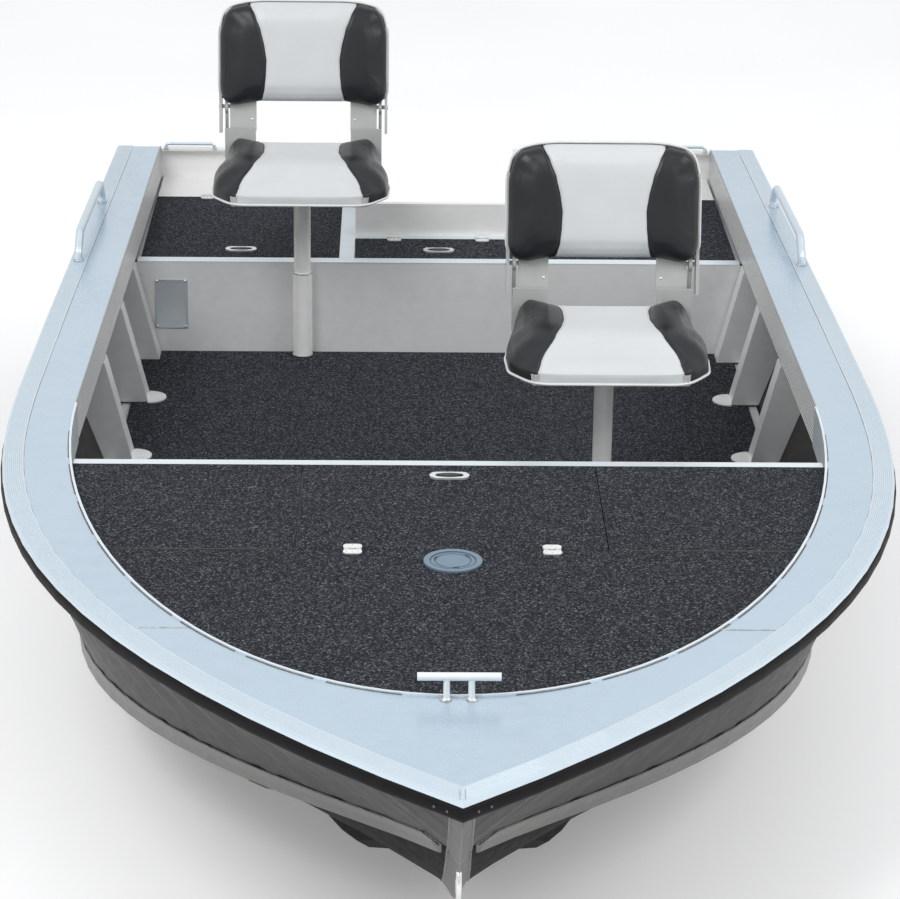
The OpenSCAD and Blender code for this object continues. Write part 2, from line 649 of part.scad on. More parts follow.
// Two-part hinges drawn with the pin along X over a panel's top face
pin_up = 5;
hinge_pin_d = 4;
knuckle_d = 8;
knuckle_l = 11;
leaf_w = 38;
leaf_l = 22;
leaf_t = 2.5;
module leaf(side, length = leaf_l) {
  translate([0, side * (length / 2 + 3.5), fit]) linear_extrude(leaf_t) slot_area(leaf_w, length - 2);
  for (x = side > 0 ? [0] : [-1, 1]) translate([x * (knuckle_l + 1), 0, 0]) {
    translate([0, 0, pin_up]) rotate([0, 90, 0]) cylinder(d = knuckle_d, h = knuckle_l, center = true, $fn = 32);
    translate([-knuckle_l / 2, side > 0 ? 0 : -6, fit]) cube([knuckle_l, 6, leaf_t]);
  }
}
module moving_leaf() difference() {
  leaf(1);
  translate([0, 0, pin_up]) rotate([0, 90, 0])
    cylinder(d = hinge_pin_d + 2 * pin_fit, h = 6 * knuckle_l, center = true, $fn = 32);
}
module fixed_leaf(length = leaf_l) {
  leaf(-1, length);
  translate([0, 0, pin_up]) rotate([0, 90, 0]) cylinder(d = hinge_pin_d, h = 3 * knuckle_l, center = true, $fn = 32);
}
module hatch_hinge_leaves() color("white") by_station()
  for (x = [-1, 1]) translate([x * hinge_span / 2, hatch_hinge, deck_z]) moving_leaf();
module foredeck_hinge_leaves() color("white") by_station()
  for (x = [-1, 1]) translate([x * hinge_span / 2, hatch_hinge, deck_z]) fixed_leaf();

// Round access plate: a flanged ring and a screw-in cover with a finger groove
module access_plate() color("steelblue") by_station() translate([0, access_at, deck_z]) {
  difference() {
    union() {
      translate([0, 0, fit]) cylinder(d = access_d, h = 4, $fn = 96);
      translate([0, 0, -panel_t - 4]) cylinder(d = access_d - 21, h = panel_t + 6, $fn = 96);
    }
    translate([0, 0, -30]) cylinder(d = access_d - 27, h = 60, $fn = 96);
  }
  translate([0, 0, -6]) difference() {
    cylinder(d = access_d - 28, h = 9, $fn = 96);
    translate([0, 0, 7]) rotate_extrude($fn = 96) translate([access_d / 2 - 24, 0]) square([3, 4]);
  }
}

// Front panel of the aft bench
bench_z = gunwale - bench_drop;
module bench_front() by_station() {
  z = [floor_top - carpet_t + fit, bench_z - sheet - fit];
  x = [inside_half(bench_at, z[0]) - 2, inside_half(bench_at, z[1]) - 2];
  translate([0, bench_at + sheet, 0]) rotate([90, 0, 0]) linear_extrude(sheet)
    polygon([[x[0], z[0]], [x[1], z[1]], [-x[1], z[1]], [-x[0], z[0]]]);
}

// Hat-shaped strips that frame the bench top, with ledges under the lids' edges
bench_half = well_edge(bench_at, -4);
ledge_w = 18;
centre_ledge_w = 14;
side_twist = 2;
ledge_z = bench_z - panel_t - fit - sheet;
well_strip_w = 28;
centre_end = motor_well_at - fit - well_strip_w - lid_gap;
module bench_frame() color("white") by_station() {
  web_h = bench_z - ledge_z;
  translate([-bench_half, bench_at, bench_z - sheet]) cube([2 * bench_half, strip_w, sheet]);
  translate([-bench_half, bench_at + strip_w - sheet, ledge_z]) cube([2 * bench_half, sheet, web_h]);
  translate([-bench_half, bench_at + strip_w - sheet, ledge_z]) cube([2 * bench_half, ledge_w, sheet]);
  for (k = [-1, 1]) {
    x = k > 0 ? notch_half + fit : -notch_half - fit - strip_w;
    translate([x, bench_at, bench_z - sheet]) cube([strip_w, stern - bench_at, sheet]);
    for (edge_x = [x, x + strip_w - sheet]) translate([edge_x, bench_at + strip_w - sheet, ledge_z])
      cube([sheet, stern - bench_at - strip_w + sheet, web_h]);
    translate([k > 0 ? x + strip_w - sheet : x + sheet - ledge_w, bench_at + strip_w - sheet, ledge_z])
      cube([ledge_w, stern - bench_at - strip_w + sheet, sheet]);
    translate([k > 0 ? x + sheet - centre_ledge_w : x + strip_w - sheet, bench_at + strip_w - sheet, ledge_z])
      cube([centre_ledge_w, motor_well_at - fit - bench_at - strip_w + sheet, sheet]);
    bench_side_ledge(k);
  }
  translate([-notch_half - fit - sheet, centre_end + lid_gap, bench_z - sheet])
    cube([2 * (notch_half + fit + sheet), well_strip_w, sheet]);
}
module bench_side_ledge(k) {
  from = bench_at + strip_w + ledge_w;
  between = [for (s = side_stations) if (s > from + 1 && s < stern - 1) s];
  half = [for (s = concat([from], between, [stern])) [k * (inside_half(s, ledge_z) - side_twist), s]];
  inner = k * (well_edge(stern, -4) - ledge_w);
  translate([0, 0, ledge_z]) linear_extrude(sheet) polygon(concat(half, [[inner, stern], [inner, from]]));
}
module bench_dividers() by_station()
  for (k = [-1, 1]) translate([k * (notch_half + fit + strip_w / 2) - sheet / 2, bench_at + sheet + fit, panel_z + floor_t + fit])
    cube([sheet, loa - transom_t - pad_t - 3 * fit - bench_at - sheet, ledge_z - panel_z - floor_t - 2 * fit]);

module inner_panels() color("silver") {
  foredeck_bulkhead();
  bench_front();
  bench_dividers();
}

// Carpeted shelves behind the side lids
lid_in = notch_half + fit + strip_w + lid_gap;
lid_front = bench_at + strip_w + lid_gap;
module bench_shelves() color("#2b2c30") by_station() for (k = [-1, 1]) {
  w = well_edge(loa, -4) - lid_in;
  translate([k > 0 ? lid_in : -lid_in - w, side_lid_end + lid_gap, bench_z - panel_t])
    cube([w, stern - side_lid_end - lid_gap, panel_t]);
}

// Carpeted lids of the three bench lockers
side_lid_w = well_edge(side_lid_end, -4) - lid_in;
bench_latch_at = lid_front + 68;
module lid_port() color("#2b2c30") by_station() difference() {
  translate([lid_in, lid_front, bench_z - panel_t]) cube([side_lid_w, side_lid_end - lid_front, panel_t]);
  translate([lid_in + side_lid_w / 2, bench_latch_at, 0]) latch_cut(bench_z);
}
module lid_starboard() starboard() lid_port();
centre_half = notch_half - lid_gap;
module lid_centre() color("#2b2c30") by_station() difference() {
  translate([-centre_half, lid_front, bench_z - panel_t]) cube([2 * centre_half, centre_end - lid_front, panel_t]);
  translate([0, bench_latch_at, 0]) latch_cut(bench_z);
}
module latch_port() by_station() translate([lid_in + side_lid_w / 2, bench_latch_at, 0]) latch(bench_z);
module latch_starboard() starboard() latch_port();
module latch_centre() by_station() translate([0, bench_latch_at, 0]) latch(bench_z);

// Hinges of the bench lids, with their pins over the lids' aft edges
lid_hinge_span = 240;
side_hinge_x = lid_in + side_lid_w / 2;
module turned_aft(x, s) translate([x, s + lid_gap / 2, bench_z]) rotate([0, 0, 180]) children();
module bench_hinge_leaves() color("white") by_station() for (x = [-1, 1]) {
  turned_aft(x * lid_hinge_span / 2, centre_end) fixed_leaf();
  for (k = [-1, 1]) turned_aft(k * side_hinge_x + x * lid_hinge_span / 2, side_lid_end) fixed_leaf();
}
module side_lid_leaves(k) by_station() for (x = [-1, 1])
  turned_aft(k * side_hinge_x + x * lid_hinge_span / 2, side_lid_end) moving_leaf();
module starboard_lid_leaves() color("white") side_lid_leaves(-1);
module port_lid_leaves() color("white") side_lid_leaves(1);
module centre_lid_leaves() color("white") by_station() for (x = [-1, 1])
  turned_aft(x * lid_hinge_span / 2, centre_end) moving_leaf();

// Cleat on the bow plate's edge
cleat_legs = 44;
module cleat() color("white") by_station() translate([0, well_start - lip_t - 9, gunwale]) {
  translate([0, 0, cleat_h - cleat_d / 2]) rotate([0, 90, 0])
    cylinder(d = cleat_d, h = cleat_w, center = true, $fn = 48);
  for (k = [-1, 1]) translate([k * cleat_legs / 2, 0, fit]) {
    cylinder(d = 12, h = cleat_h - cleat_d / 2, $fn = 32);
    cylinder(d1 = 18, d2 = 12, h = 4, $fn = 32);
  }
}

// Grab handles on the rails and low ones at the stern
handle_foot = 20;
handle_ramp = 48;
handle_bend = 25;
stern_handle_w = 140;
stern_handle_h = 20;
stern_handle_d = 10;
stern_handle_x = 712;
stern_handle_at = loa - 30;
module grab_handles() color("white") by_station() {
  z = rail_top + fit;
  high = handle_h - handle_d / 2;
  for (k = [-1, 1]) {
    a = [k * edge(handle_at, rail_w / 2), handle_at];
    b = [k * edge(handle_at + handle_span, rail_w / 2), handle_at + handle_span];
    span = norm(b - a);
    translate([a[0], a[1], z]) rotate([0, 0, atan2(b[1] - a[1], b[0] - a[0])])
      bent_rod([[0, 0], [0, handle_foot], [handle_ramp, high], [span - handle_ramp, high], [span, handle_foot],
        [span, 0]], handle_bend, handle_d, 16);
    translate([k * stern_handle_x - stern_handle_w / 2, stern_handle_at, gunwale + fit])
      bent_rod([[0, 0], [0, stern_handle_h - stern_handle_d / 2],
        [stern_handle_w, stern_handle_h - stern_handle_d / 2], [stern_handle_w, 0]], 9, stern_handle_d, 10);
  }
}

// Socket pieces for the seat posts
post_fit = 0.25;
sleeve_at = bench_at - fit - post_d / 2 - post_fit - sleeve_wall;

module tube(d, wall, h) difference() {
  cylinder(d = d, h = h, $fn = 64);
  translate([0, 0, -1]) cylinder(d = d - 2 * wall, h = h + 2, $fn = 64);
}
sleeve_top = gunwale - 108;
post_foot = gunwale - floor_drop + 6;
module rear_sleeve() color("silver") by_station() translate([-seat_x, sleeve_at, gunwale - floor_drop + fit])
  tube(post_d + 2 * post_fit + 2 * sleeve_wall, sleeve_wall, sleeve_top - gunwale + floor_drop - fit);
socket_plate_d = 170;
socket_plate_t = 6;
socket_h = 60;
module front_socket() color("silver") by_station() translate([seat_x, front_seat_at, gunwale - floor_drop + fit])
  difference() {
    union() {
      cylinder(d = socket_plate_d, h = socket_plate_t, $fn = 72);
      cylinder(d = post_d + 2 * post_fit + 2 * sleeve_wall + 4, h = socket_h, $fn = 64);
    }
    translate([0, 0, socket_plate_t - 1]) cylinder(d = post_d + 2 * post_fit, h = socket_h, $fn = 64);
  }

// A folding seat: every piece is drawn round its post's axis with z = 0 under the pan
swivel_t = 4;
bearing_t = 8;
swivel_w = 170;
module seat_place(x, s, up) translate([x, s - loa / 2, gunwale + up]) children();
module post(up) {
  top = -2 * swivel_t - bearing_t;
  low = post_foot - gunwale - up;
  translate([0, 0, low]) tube(post_d, post_wall, top - low);
  translate([0, 0, top - 38]) tube(post_d + 14, 7 - post_fit, 38);
  translate([-swivel_w / 2, -swivel_w / 2, top]) cube([swivel_w, swivel_w, swivel_t]);
  translate([0, 0, top + swivel_t]) cylinder(d = 110, h = bearing_t - fit, $fn = 64);
}
module swivel_top() translate([-swivel_w / 2, -swivel_w / 2, -swivel_t]) cube([swivel_w, swivel_w, swivel_t - fit]);

// Plan outline of the seat, widest towards the front
function seat_outline(grow) = [
  [-0.44 * seat_w - grow, seat_back + grow], [-0.5 * seat_w - grow, -0.25 * seat_front],
  [-0.49 * seat_w - grow, -0.66 * seat_front], [-0.38 * seat_w, -seat_front - grow],
  [0.38 * seat_w, -seat_front - grow], [0.49 * seat_w + grow, -0.66 * seat_front],
  [0.5 * seat_w + grow, -0.25 * seat_front], [0.44 * seat_w + grow, seat_back + grow]
];
shell_t = 5;
pan_h = 24;
ear_w = 82;
ear_t = 9;
ear_x = 208;
ear_y = seat_back + 1;
ear_drop = 53;
flange_t = 8;
flange_r = 16;
module shell() {
  difference() {
    linear_extrude(pan_h) polygon(seat_outline(-4));
    translate([0, 0, shell_t]) linear_extrude(pan_h) polygon(seat_outline(-4 - shell_t));
  }
  for (k = [-1, 1]) {
    translate([k > 0 ? ear_x - ear_w : -ear_x, seat_back - 6, 0])
      cube([ear_w, fold_y + flange_r - seat_back + 6, shell_t]);
    translate([k > 0 ? ear_x - ear_w : -ear_x, ear_y, 0]) cube([ear_w, ear_t, fold_z - ear_drop]);
    difference() {
      union() {
        translate([k > 0 ? ear_x - flange_t : -ear_x, fold_y - 2, 0])
          cube([flange_t, flange_r + 2, fold_z]);
        translate([k > 0 ? ear_x - flange_t : -ear_x, fold_y, fold_z]) rotate([0, 90, 0])
          cylinder(r = flange_r, h = flange_t, $fn = 48);
      }
      translate([-seat_w, fold_y, fold_z]) rotate([0, 90, 0])
        cylinder(d = pin_d + 2 * pin_fit, h = 2 * seat_w, $fn = 48);
    }
  }
}
module cushion() hull() {
  translate([0, 0, shell_t + fit]) linear_extrude(10) polygon(seat_outline(-14));
  translate([0, 0, cushion_top - 30]) linear_extrude(4) polygon(seat_outline(-4));
  translate([0, 0, cushion_top - 1]) linear_extrude(1) polygon(seat_outline(-34));
}

// Moulded frame of the backrest with its arms and hinge pins
back_w = 446;
back_corner = 85;
back_t = 10;
window_w = 250;
module back_area(low) {
  r = back_corner;
  hull() {
    for (k = [-1, 1]) translate([k * (back_w / 2 - r), back_top - r]) circle(r = r, $fn = 48);
    translate([-back_w / 2, low]) square([back_w, 20]);
  }
}
module leaning() translate([0, fold_y, fold_z]) rotate([-recline, 0, 0]) translate([0, -fold_y, -fold_z]) children();
back_y = fold_y - 4;
arm_out = ear_x - flange_t - 5;
arm_low = fold_z - 65;
cheek_t = 7;
cheek_w = 40;
cheek_low = fold_z - 70;
module back_frame() leaning() {
  translate([0, back_y + back_t, 0]) rotate([90, 0, 0]) linear_extrude(back_t) back_area(back_low);
  for (k = [-1, 1]) {
    translate([k > 0 ? window_w / 2 : -arm_out, back_y, arm_low])
      cube([arm_out - window_w / 2, back_t, back_low - arm_low + 10]);
    translate([k > 0 ? back_w / 2 - cheek_t : -back_w / 2, back_y - 14, cheek_low])
      cube([cheek_t, cheek_w, back_top - fold_z]);
    translate([k > 0 ? arm_out - 20 : -back_w / 2 + 1, fold_y, fold_z]) rotate([0, 90, 0])
      cylinder(d = pin_d, h = back_w / 2 - arm_out + 19, $fn = 48);
  }
}
cushion_hang = 20;
module back_cushion() leaning() translate([0, back_y - fit, 0]) rotate([90, 0, 0]) hull() {
  linear_extrude(4) offset(delta = -8) back_area(back_low - 6);
  translate([0, 0, 20]) linear_extrude(4) offset(delta = -8) back_area(back_low - cushion_hang);
  translate([0, 0, 47]) linear_extrude(1) offset(delta = -34) back_area(back_low - cushion_hang);
}
module rear_seat() seat_place(-seat_x, sleeve_at, rear_seat_up) children();
module front_seat() seat_place(seat_x, front_seat_at, front_seat_up) children();
module rear_post() color("silver") rear_seat() post(rear_seat_up);
module rear_swivel() color("dimgray") rear_seat() swivel_top();
module rear_shell() color("gainsboro") rear_seat() shell();
module rear_cushion() color("whitesmoke") rear_seat() cushion();
module rear_back_frame() color("gainsboro") rear_seat() back_frame();
module rear_back_cushion() color("whitesmoke") rear_seat() back_cushion();
module front_post() color("silver") front_seat() post(front_seat_up);
module front_swivel() color("dimgray") front_seat() swivel_top();
module front_shell() color("gainsboro") front_seat() shell();
module front_cushion() color("whitesmoke") front_seat() cushion();
module front_back_frame() color("gainsboro") front_seat() back_frame();
module front_back_cushion() color("whitesmoke") front_seat() back_cushion();

rail_starboard();
rail_port();
fender_starboard();
fender_port();
side_deck_starboard();
side_deck_port();
bow_plate();
deck_lip();
coamings();
side_plate_starboard();
side_plate_port();
bottom_plate_starboard();
bottom_plate_port();
chine_rail_starboard();
chine_rail_port();
stem_bar();
bow_eye();
transom();
motor_pads();
motor_well();
side_frames();
floor_panel();
floor_carpet();
inner_panels();
foredeck_angle();
foredeck();
hatch_frame();
hatch_lid();
hatch_latch();
hatch_hinge_leaves();
foredeck_hinge_leaves();
access_plate();
bench_frame();
bench_shelves();
bench_hinge_leaves();
starboard_lid_leaves();
port_lid_leaves();
centre_lid_leaves();
lid_starboard();
lid_port();
lid_centre();
latch_starboard();
latch_port();
latch_centre();
cleat();
grab_handles();
rear_sleeve();
front_socket();
rear_post();
rear_swivel();
rear_shell();
rear_cushion();
rear_back_frame();
rear_back_cushion();
front_post();
front_swivel();
front_shell();
front_cushion();
front_back_frame();
front_back_cushion();
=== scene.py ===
# Aluminium fishing boat: camera, light, materials, padded seats and fine details over the CAD model
import math
import bpy
import bmesh
from mathutils import Matrix, Vector

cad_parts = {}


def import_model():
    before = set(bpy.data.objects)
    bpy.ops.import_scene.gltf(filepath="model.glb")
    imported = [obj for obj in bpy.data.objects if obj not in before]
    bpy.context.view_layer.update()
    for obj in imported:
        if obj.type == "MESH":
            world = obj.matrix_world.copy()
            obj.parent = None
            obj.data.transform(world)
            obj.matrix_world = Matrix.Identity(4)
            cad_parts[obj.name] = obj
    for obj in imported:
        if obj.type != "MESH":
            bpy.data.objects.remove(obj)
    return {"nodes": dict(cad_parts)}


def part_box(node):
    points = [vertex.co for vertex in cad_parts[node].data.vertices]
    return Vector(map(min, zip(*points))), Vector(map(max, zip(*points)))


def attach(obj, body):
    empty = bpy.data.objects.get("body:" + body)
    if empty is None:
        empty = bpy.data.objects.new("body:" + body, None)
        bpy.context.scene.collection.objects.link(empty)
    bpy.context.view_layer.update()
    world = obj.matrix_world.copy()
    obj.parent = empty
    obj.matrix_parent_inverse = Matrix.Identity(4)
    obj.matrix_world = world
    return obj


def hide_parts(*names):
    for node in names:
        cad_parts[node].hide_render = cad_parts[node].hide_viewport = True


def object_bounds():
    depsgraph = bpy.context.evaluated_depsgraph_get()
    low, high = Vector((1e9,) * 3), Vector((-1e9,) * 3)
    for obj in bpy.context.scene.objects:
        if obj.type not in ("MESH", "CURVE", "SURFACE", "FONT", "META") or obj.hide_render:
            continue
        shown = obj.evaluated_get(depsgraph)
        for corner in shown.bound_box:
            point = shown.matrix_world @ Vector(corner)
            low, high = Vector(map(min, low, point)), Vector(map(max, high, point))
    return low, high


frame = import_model()
cad_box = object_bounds()
NODES = frame["nodes"]

# Sizes shared with the CAD source, in metres; a station is the distance aft of the bow tip
LOA = 4.2
GUN = 0.5
RAIL_W = 0.045
BENCH_Z = 0.41
BENCH_AT = 3.345
DECK_Z = GUN - 0.012
COAMING_H = 0.09
SEAT_X = 0.363
REAR_SEAT = Vector((-SEAT_X, 3.3192 - LOA / 2, GUN + 0.132))
FRONT_SEAT = Vector((SEAT_X, 2.14 - LOA / 2, GUN + 0.060))
FOLD_Y = 0.172
FOLD_Z = 0.165
RECLINE = math.radians(12)


# Camera fitted to the photograph
def make_camera():
    data = bpy.data.cameras.new("camera")
    data.sensor_width = 36.0
    data.lens = 3096.0 / 900.0 * 36.0
    data.clip_end = 100.0
    cam = bpy.data.objects.new("camera", data)
    bpy.context.scene.collection.objects.link(cam)
    pitch, yaw, roll = (math.radians(a) for a in (20.297, 1.095, 0.687))
    ahead = Vector((math.sin(yaw) * math.cos(pitch), math.cos(yaw) * math.cos(pitch), -math.sin(pitch)))
    right = Vector((math.cos(yaw), -math.sin(yaw), 0.0))
    up = right.cross(ahead)
    right2 = math.cos(roll) * right + math.sin(roll) * up
    up2 = -math.sin(roll) * right + math.cos(roll) * up
    turn = Matrix((right2, up2, -ahead)).transposed().to_4x4()
    cam.matrix_world = Matrix.Translation((-0.116, -6.658, 2.804)) @ turn
    bpy.context.scene.camera = cam


make_camera()


# Node graphs for the materials
class Look:
    def __init__(self, name, colour, rough, metal=0.0, **sockets):
        self.mat = bpy.data.materials.new(name)
        self.mat.use_nodes = True
        self.tree = self.mat.node_tree
        self.shader = self.tree.nodes["Principled BSDF"]
        self.coord = self.tree.nodes.new("ShaderNodeTexCoord").outputs["Object"]
        self.put("Base Color", (*colour, 1.0))
        self.put("Roughness", rough)
        self.put("Metallic", metal)
        for key, value in sockets.items():
            self.put(key.replace("_", " "), value)

    def put(self, key, value):
        socket = self.shader.inputs[key]
        if isinstance(value, bpy.types.NodeSocket):
            self.tree.links.new(value, socket)
        else:
            socket.default_value = value

    def add(self, kind, values=(), **props):
        node = self.tree.nodes.new(kind)
        for key, value in props.items():
            setattr(node, key, value)
        for key, value in dict(values).items():
            if isinstance(value, bpy.types.NodeSocket):
                self.tree.links.new(value, node.inputs[key])
            else:
                node.inputs[key].default_value = value
        return node

    def place(self, stretch=(1, 1, 1), turn=(0, 0, 0)):
        return self.add("ShaderNodeMapping", {"Vector": self.coord, "Scale": stretch, "Rotation": turn}).outputs[0]

    def noise(self, scale, stretch=(1, 1, 1), detail=3.0, blur=0.5, turn=(0, 0, 0)):
        return self.add("ShaderNodeTexNoise", {"Vector": self.place(stretch, turn), "Scale": scale,
                        "Detail": detail, "Roughness": blur}).outputs["Fac"]

    def cells(self, scale, stretch=(1, 1, 1), feature="F1", out="Distance"):
        return self.add("ShaderNodeTexVoronoi", {"Vector": self.place(stretch), "Scale": scale},
                        feature=feature).outputs[out]

    def span(self, value, low, high, to_low=0.0, to_high=1.0):
        return self.add("ShaderNodeMapRange", {0: value, 1: low, 2: high, 3: to_low, 4: to_high}).outputs[0]

    def math(self, kind, a, b=0.5):
        return self.add("ShaderNodeMath", {0: a, 1: b}, operation=kind).outputs[0]

    def ramp(self, value, *stops):
        node = self.add("ShaderNodeValToRGB", {0: value})
        while len(node.color_ramp.elements) < len(stops):
            node.color_ramp.elements.new(0.5)
        for element, (at, colour) in zip(node.color_ramp.elements, stops):
            element.position = at
            element.color = (*colour, 1.0)
        return node.outputs[0]

    def mix(self, fac, a, b, kind="MIX"):
        node = self.add("ShaderNodeMix", {0: fac}, data_type="RGBA", blend_type=kind)
        for key, value in ((6, a), (7, b)):
            if isinstance(value, bpy.types.NodeSocket):
                self.tree.links.new(value, node.inputs[key])
            else:
                node.inputs[key].default_value = (*value, 1.0)
        return node.outputs[2]

    def bump(self, *layers):
        normal = None
        for height, strength, distance in layers:
            values = {"Height": height, "Strength": strength, "Distance": distance}
            if normal:
                values["Normal"] = normal
            normal = self.add("ShaderNodeBump", values).outputs[0]
        self.put("Normal", normal)
        return self


# Rolled or brushed aluminium: grain along one axis, soft smudges and a wavering gloss
def sheet_metal(name, colour, dirt, rough, grain, metal=0.3, smudge=0.35, lines=0.12, rib_shade_bands=None):
    look = Look(name, colour, rough, metal)
    soft = look.noise(3.1, (1, 0.6, 1), 4.0, 0.55)
    fine = look.noise(90.0, grain, 4.0, 0.6)
    spots = look.noise(22.0, (1, 1, 1), 5.0, 0.65)
    patch = look.span(look.math("MULTIPLY", soft, spots), 0.2, 0.42)
    tone = look.mix(look.math("MULTIPLY", patch, smudge), colour, dirt)
    streak = look.mix(look.span(fine, 0.3, 0.7, 0.0, lines), tone, tuple(c * 0.72 for c in colour))
    # Ribbed plates: painted shade, a darker band at each groove between the ribs
    if rib_shade_bands:
        height = look.add("ShaderNodeSeparateXYZ", {0: look.coord}).outputs[2]
        step = look.math("FRACT", look.math("DIVIDE", look.math("SUBTRACT", height, rib_shade_bands[0]), rib_shade_bands[1]))
        low = look.math("GREATER_THAN", look.math("ABSOLUTE", look.math("SUBTRACT", step, 0.5)), 0.27)
        streak = look.mix(low, streak, tuple(c * 0.42 for c in colour))
    look.put("Base Color", streak)
    look.put("Roughness", look.span(look.math("ADD", patch, fine), 0.5, 1.6, rough * 0.82, rough * 1.2))
    return look.bump((fine, 0.02, 0.0002), (spots, 0.02, 0.001)).mat


def bead_metal(name, colour, rough, metal):
    look = Look(name, colour, rough, metal)
    ripple = look.noise(420.0, (1, 1, 1), 3.0, 0.6)
    soot = look.noise(60.0, (1, 1, 1), 3.0, 0.6)
    look.put("Base Color", look.ramp(soot, (0.36, tuple(c * 0.55 for c in colour)), (0.62, colour)))
    look.put("Roughness", look.span(ripple, 0.3, 0.7, rough * 0.8, rough * 1.3))
    return look.bump((ripple, 0.35, 0.0005)).mat


def carpet(name="carpet", bare_aft=None):
    """Flecked marine carpet; a shelf may be bare metal aft of a line."""
    look = Look(name, (0.02, 0.02, 0.024), 0.95, 0.0, Specular_IOR_Level=0.12)
    tuft = look.cells(330.0)
    fleck = look.cells(360.0, out="Color")
    shade = look.add("ShaderNodeSeparateColor", {0: fleck}).outputs[0]
    wide = look.noise(26.0, (1, 1, 1), 4.0, 0.6)
    deep = look.ramp(wide, (0.3, (0.009, 0.011, 0.014)), (0.7, (0.018, 0.021, 0.026)))
    pale = look.ramp(shade, (0.0, (0.008, 0.009, 0.012)), (0.45, (0.024, 0.027, 0.034)), (0.72, (0.058, 0.064, 0.078)),
                     (0.90, (0.13, 0.14, 0.16)), (1.0, (0.26, 0.27, 0.30)))
    colour = look.mix(look.span(look.noise(210.0, (1, 1, 1), 3.0, 0.7), 0.34, 0.54), deep, pale)
    rough = look.span(tuft, 0.0, 0.5, 1.0, 0.82)
    pile = look.math("ADD", look.math("MULTIPLY", tuft, -1.0), look.noise(520.0, (1, 1, 1), 3.0, 0.8))
    if bare_aft is not None:
        along = look.add("ShaderNodeSeparateXYZ", {0: look.coord}).outputs[1]
        bare = look.math("GREATER_THAN", along, bare_aft)
        smudge = look.mix(wide, (0.88, 0.88, 0.87), (0.80, 0.80, 0.78))
        colour = look.mix(bare, colour, smudge)
        rough = look.math("SUBTRACT", rough, look.math("MULTIPLY", bare, 0.5))
        pile = look.math("MULTIPLY", pile, look.math("SUBTRACT", 1.0, bare))
    look.put("Base Color", colour)
    look.put("Roughness", rough)
    return look.bump((pile, 0.9, 0.003)).mat


def vinyl(name, colour, rough, dirt, gloss=0.5):
    look = Look(name, colour, rough, 0.0, Specular_IOR_Level=gloss, Coat_Weight=0.2 * gloss, Coat_Roughness=0.35)
    grain = look.cells(1300.0, (1, 1, 1), "SMOOTH_F1")
    pore = look.noise(700.0, (1, 1, 1), 3.0, 0.7)
    hand = look.noise(14.0, (1, 1, 1), 4.0, 0.6)
    look.put("Base Color", look.mix(look.span(hand, 0.35, 0.75, 0.0, 0.5), colour, dirt))
    look.put("Roughness", look.span(look.math("ADD", grain, hand), 0.4, 1.4, rough * 0.85, rough * 1.25))
    return look.bump((grain, 0.14, 0.0005), (pore, 0.06, 0.0004), (hand, 0.05, 0.003)).mat


def plastic(name, colour, rough, dirt, metal=0.0):
    look = Look(name, colour, rough, metal)
    pebble = look.noise(850.0, (1, 1, 1), 2.0, 0.5)
    wear = look.noise(18.0, (1, 1, 1), 5.0, 0.65)
    look.put("Base Color", look.mix(look.span(wear, 0.4, 0.8, 0.0, 0.6), colour, dirt))
    look.put("Roughness", look.span(wear, 0.3, 0.7, rough * 0.85, rough * 1.2))
    return look.bump((pebble, 0.14, 0.0004), (wear, 0.05, 0.002)).mat


def bright_steel(name, colour, rough, grain, metal=0.9):
    look = Look(name, colour, rough, metal)
    fine = look.noise(260.0, grain, 4.0, 0.6)
    hand = look.noise(30.0, (1, 1, 1), 4.0, 0.6)
    look.put("Base Color", look.mix(look.span(hand, 0.45, 0.8, 0.0, 0.2), colour, tuple(c * 0.7 for c in colour)))
    look.put("Roughness", look.span(look.math("ADD", fine, hand), 0.5, 1.5, rough * 0.85, rough * 1.2))
    return look.bump((fine, 0.02, 0.0002)).mat


def rubber():
    look = Look("fender_rubber", (0.006, 0.006, 0.007), 0.55, 0.0, Specular_IOR_Level=0.12)
    scuff = look.noise(40.0, (1, 0.35, 1), 5.0, 0.7)
    skin = look.noise(600.0, (1, 1, 1), 2.0, 0.5)
    look.put("Base Color", look.ramp(scuff, (0.45, (0.005, 0.005, 0.006)), (0.8, (0.012, 0.012, 0.013))))
    look.put("Roughness", look.span(scuff, 0.3, 0.8, 0.5, 0.7))
    return look.bump((skin, 0.12, 0.0005), (scuff, 0.10, 0.001)).mat


# Grey painted hull sheet: satin, with painted broad soft reflections and specks of dust
def hull_paint(name, colour, pale, rough, metal=0.35, gloss=0.5):
    look = Look(name, colour, rough, metal, Specular_IOR_Level=gloss)
    broad_wave_and_reflection = look.noise(2.2, (1, 0.5, 2.2), 3.0, 0.5)
    dust = look.noise(34.0, (1, 1, 1), 6.0, 0.7)
    grain = look.noise(160.0, (1, 0.05, 1), 3.0, 0.6)
    # Painted reflection: broad soft patches of the paler colour; the same noise gives the plates a broad wave
    tone = look.mix(look.span(broad_wave_and_reflection, 0.35, 0.7, 0.0, 0.55), colour, pale)
    look.put("Base Color", look.mix(look.span(dust, 0.5, 0.85, 0.0, 0.45), tone, tuple(c * 1.8 for c in pale)))
    look.put("Roughness", look.span(dust, 0.3, 0.8, rough * 0.85, rough * 1.25))
    return look.bump((grain, 0.02, 0.0003), (broad_wave_and_reflection, 0.08, 0.010), (dust, 0.03, 0.001)).mat


